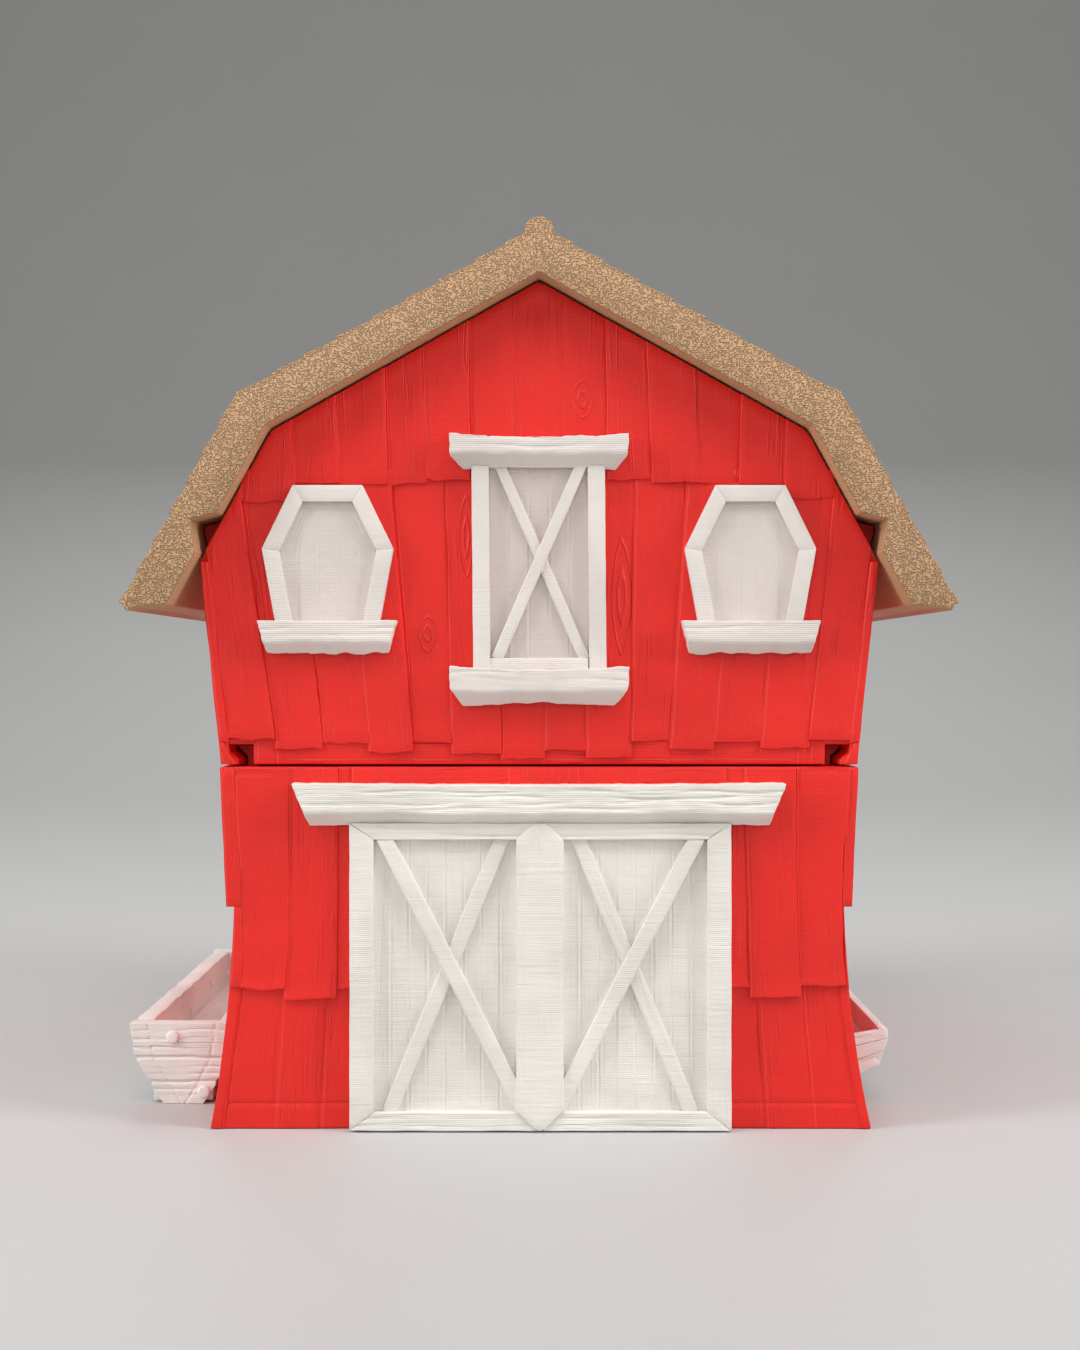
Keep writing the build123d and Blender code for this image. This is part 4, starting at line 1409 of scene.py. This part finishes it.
def grain_height(finish, depth, lines=4.0):
    """Wood grain along the plank: contour lines round long hills, broken ridges and streaks."""
    hills = finish.noise(finish.along_grain((0.42, 0.035, 1)), 1.0, 1.5, 0.25)
    line = 1 - abs((hills * lines).fraction() - 0.5).eased(0.0, 0.1)
    fade = finish.noise(finish.along_grain((0.25, 0.06, 1), (31, 7, 3)), 1.0, 1.0).eased(0.48, 0.66)
    folds = finish.noise(finish.along_grain((0.8, 0.012, 1), (7, 2, 5)), 1.0, 1.0)
    ridge = 1 - abs(folds - 0.5).eased(0.0, 0.035)
    broken = finish.noise(finish.along_grain((0.3, 0.09, 1), (3, 17, 8)), 1.0, 1.0).eased(0.5, 0.64)
    streaks = finish.noise(finish.along_grain((1.5, 0.03, 1), (3, 5, 9)), 1.0, 3.0, 0.0, 0.65)
    return (ridge * broken * 0.8 - line * fade * 0.7 + (streaks - 0.5) * 0.6) * depth


LAYER = 0.28  # height of a printed layer, in millimetres


def layer_height(finish, depth, torn=0.012, bands=5.0):
    """Fine level lines, one for each printed layer, and bands of layers that lie a little proud."""
    height = finish.along("Z")
    proud = finish.noise(finish.place((torn, torn, 1.8)), 1.0, 3.0, 0.0, 0.6)
    return (height * (2 * math.pi / LAYER)).sine() * depth + (proud - 0.5) * (bands * depth)


def plastic(name, colour, relief):
    """Matte printed plastic with wood grain along each plank, made once and shared."""
    ready = bpy.data.materials.get(name)
    if ready:
        return ready
    finishes = bpy.context.scene.barn_finishes
    base = tuple(getattr(finishes, colour))
    finish = Finish(name)
    depth = finishes.grain_depth / MM
    red = colour == "red"
    height = grain_height(finish, depth * relief * (1.0 if red else 0.6))
    if red:
        height = height + knots(finish, depth)
    torn, bands = (0.09, 13.0) if colour == "door_white" else (0.012, 5.0)
    height = height + layer_height(finish, finishes.layer_depth / MM, torn, bands)
    height = height + (finish.noise(finish.place(), 0.35, 2.0) - 0.5) * 0.05
    cloud = finish.noise(finish.place(), 0.08, 3.0)
    dark = tuple((0.94 if red else 0.9) * c for c in base) + (1.0,)
    light = tuple(min(1, 1.03 * c) for c in base) + (1.0,)
    tone = finish.mix(cloud.eased(0.3, 0.7), dark, light)
    if colour == "window_white":
        # painted red bounce light and painted shade: the fields set back near the red wall are
        # tinted redder and darker, most of all in the loft door
        at_loft = 1 - abs(finish.along("X")).eased(12.0, 14.0) * 0.5
        red_bounce_and_shade = (finish.along("Y") - FRONT).eased(-0.8, -0.4) * at_loft
        # painted bounce light and shade mixed into the fields' tone
        tone = finish.mix(red_bounce_and_shade, tone, (0.84 * base[0], 0.78 * base[1], 0.79 * base[2], 1.0))
    if red:
        # a fine raised line runs beside each board's edge, with a painted highlight of paler red
        # along it where the edge catches light
        across = finish.node("SeparateXYZ", {}, {0: finish.along_grain()}, output="X")
        line = 1 - abs(across - 0.2).eased(0.02, 0.15)
        height = height + line * 0.045
        # painted highlight: paler red mixed in along the raised line
        tone = finish.mix(line * 0.4, tone, (0.95, 0.07, 0.05, 1.0))
    sheen = finish.noise(finish.place(), 1.1, 3.0)
    roughness = sheen * 0.16 + (0.42 if red else 0.5)
    return finish.plastic(tone, roughness, finish.bump(height), 0.4)


def knots(finish, depth):
    """Almond-shaped knots in four of the front boards, with rings round an eye."""
    x, z = finish.along("X"), finish.along("Z")
    facing = 1 - (finish.along("Y") - (FRONT + 2.0)).eased(0.0, 0.5)
    total = None
    for cx, cz, wide, tall in (
        (6.1, 102.2, 1.2, 2.1), (-15.6, 69.4, 1.0, 2.0), (-10.2, 83.0, 0.8, 4.6),
        (11.6, 74.6, 1.1, 6.4),
    ):
        out = abs((x - cx) / wide) ** 1.6 + abs((z - cz) / tall) ** 1.6
        out = out + finish.noise(finish.place(), 0.9, 1.0) * 0.35
        ring = 1 - abs((out * 0.95).fraction() - 0.5).eased(0.0, 0.24)
        inside = 1 - out.eased(1.5, 2.1)
        part = ring * inside * facing * (1.3 * depth)
        total = part if total is None else total + part
    return total


def roof_plastic():
    """Tan plastic: grain on the shingles, and a curly fuzz on the two gable faces with painted
    shade in its hollows and painted highlight on its crests.
    """
    finishes = bpy.context.scene.barn_finishes
    base = tuple(finishes.tan)
    finish = Finish("roof plastic")
    where = finish.place()
    gable_face = abs(finish.along("Y")).eased(ROOF_BACK - 0.35, ROOF_BACK - 0.1)
    fuzz = abs(finish.noise(where, 3.0, 0.0, 0.0) - 0.5).eased(0.0, 0.14)
    grain = grain_height(finish, finishes.grain_depth / MM, 3.0)
    height = fuzz * gable_face * (finishes.fuzz_depth / MM) + grain * (1 - gable_face)
    height = height + layer_height(finish, finishes.layer_depth / MM)
    dark = tuple(0.56 * c for c in base) + (1.0,)
    light = tuple(1.16 * c for c in base) + (1.0,)
    cloud = finish.noise(finish.place(), 0.1, 3.0).eased(0.3, 0.7)
    tone = finish.mix(cloud * 0.14 + 0.6, dark, light)
    # painted shade in the fuzz's hollows and painted highlight on its crests
    fuzz_shade_and_highlight = finish.mix(fuzz * 0.85 + 0.15, dark, light)
    tone = finish.mix(gable_face, tone, fuzz_shade_and_highlight)
    roughness = cloud * 0.1 + 0.55
    return finish.plastic(tone, roughness, finish.bump(height), 0.35)


def floor_plastic(grey):
    """Pale studio floor, almost even."""
    finish = Finish("studio floor")
    cloud = finish.noise(finish.place(), 0.01, 2.0)
    tone = finish.mix(cloud, (grey, grey, grey, 1), (grey * 1.03, grey * 1.03, grey * 1.02, 1))
    height = (finish.noise(finish.place(), 0.5, 2.0) - 0.5) * 0.02
    return finish.plastic(tone, cloud * 0.1 + 0.55, finish.bump(height), 0.3)


class BARN_OT_stage(Operator):
    """Lay the pale floor, hang the softboxes and set the camera."""

    bl_idname = "barn.stage"
    bl_label = "Studio"

    def execute(self, context):
        studio = context.scene.barn_studio
        bpy.ops.object.select_all(action="DESELECT")
        bpy.ops.mesh.primitive_plane_add(size=1, location=(0, 0, 0))
        floor = context.object
        floor.name = "studio_floor"
        for v in floor.data.vertices:
            v.co = Vector((v.co.x * 24, v.co.y * 12 - 4.6, -0.00005))
        bpy.ops.object.mode_set(mode="EDIT")
        bpy.ops.mesh.select_all(action="DESELECT")
        bpy.ops.object.mode_set(mode="OBJECT")
        for edge in floor.data.edges:
            edge.select = all(floor.data.vertices[i].co.y > 1 for i in edge.vertices)
        bpy.ops.object.mode_set(mode="EDIT")
        bpy.ops.mesh.select_mode(type="EDGE")
        bpy.ops.mesh.extrude_edges_move(TRANSFORM_OT_translate={"value": (0, 0, 3)})
        bpy.ops.object.mode_set(mode="OBJECT")
        soften(floor, 0.8, 12, 40)
        alone(floor)
        bpy.ops.object.shade_smooth()
        floor.data.materials.append(floor_plastic(studio.floor_grey))

        aim = Vector((0, -0.02, 0.062))
        for name, place, size, power in (
            ("key", (0.0, -0.28, 0.62), (0.6, 0.3), studio.key_power),
            ("side_left", (-0.66, -0.28, 0.40), (0.25, 0.45), studio.side_power),
            ("side_right", (0.66, -0.28, 0.40), (0.25, 0.45), studio.side_power),
            ("fill", (0.0, -0.75, 0.30), (0.8, 0.3), studio.fill_power),
            ("back", (0.0, 0.9, 0.65), (0.9, 0.4), studio.back_power),
        ):
            data = bpy.data.lights.new(name, "AREA")
            data.shape = "RECTANGLE"
            data.size, data.size_y = size
            data.energy = power
            light = bpy.data.objects.new(name, data)
            context.scene.collection.objects.link(light)
            light.location = place
            light.rotation_euler = (aim - Vector(place)).to_track_quat("-Z", "Y").to_euler()
        world = bpy.data.worlds.new("studio")
        world.use_nodes = True
        shade = world.node_tree.nodes["Background"]
        shade.inputs["Color"].default_value = (1.0, 0.985, 0.96, 1)
        shade.inputs["Strength"].default_value = studio.world_level
        context.scene.world = world

        data = bpy.data.cameras.new("camera")
        data.sensor_fit = "VERTICAL"
        data.sensor_height = 36
        data.lens = 48
        data.shift_y = -0.0044
        data.clip_start = 0.01
        camera = bpy.data.objects.new("camera", data)
        context.scene.collection.objects.link(camera)
        camera.location = (0.00014, FRONT * MM - studio.camera_distance, studio.camera_height)
        camera.rotation_euler = (math.radians(90), 0, 0)
        context.scene.camera = camera
        context.scene.view_settings.view_transform = "Standard"
        return {"FINISHED"}


class BARN_PT_panel(Panel):
    """Sizes, finishes and the pieces of the barn."""

    bl_label = "Toy barn"
    bl_idname = "BARN_PT_panel"
    bl_space_type = "VIEW_3D"
    bl_region_type = "UI"
    bl_category = "Toy barn"

    def draw(self, context):
        scene = context.scene
        for group in (scene.barn_sizes, scene.barn_finishes, scene.barn_studio):
            box = self.layout.box()
            for name in group.__annotations__:
                box.prop(group, name)
        for operator in OPERATORS:
            self.layout.operator(operator.bl_idname)


GROUPS = (BarnSizes, BarnFinishes, BarnStudio)
OPERATORS = (
    BARN_OT_stage, BARN_OT_lower_storey, BARN_OT_door, BARN_OT_feed_box, BARN_OT_upper_storey,
    BARN_OT_loft_door, BARN_OT_windows, BARN_OT_roof, BARN_OT_trough,
)


def register():
    for cls in GROUPS + OPERATORS + (BARN_PT_panel,):
        bpy.utils.register_class(cls)
    bpy.types.Scene.barn_sizes = PointerProperty(type=BarnSizes)
    bpy.types.Scene.barn_finishes = PointerProperty(type=BarnFinishes)
    bpy.types.Scene.barn_studio = PointerProperty(type=BarnStudio)


def unregister():
    del bpy.types.Scene.barn_studio
    del bpy.types.Scene.barn_finishes
    del bpy.types.Scene.barn_sizes
    for cls in reversed(GROUPS + OPERATORS + (BARN_PT_panel,)):
        bpy.utils.unregister_class(cls)


def main():
    register()
    bpy.ops.barn.stage()
    bpy.ops.barn.lower_storey()
    bpy.ops.barn.door()
    bpy.ops.barn.feed_box()
    bpy.ops.barn.upper_storey()
    bpy.ops.barn.loft_door()
    bpy.ops.barn.windows()
    bpy.ops.barn.roof()
    bpy.ops.barn.trough()
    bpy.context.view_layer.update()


if __name__ == "__main__":
    main()
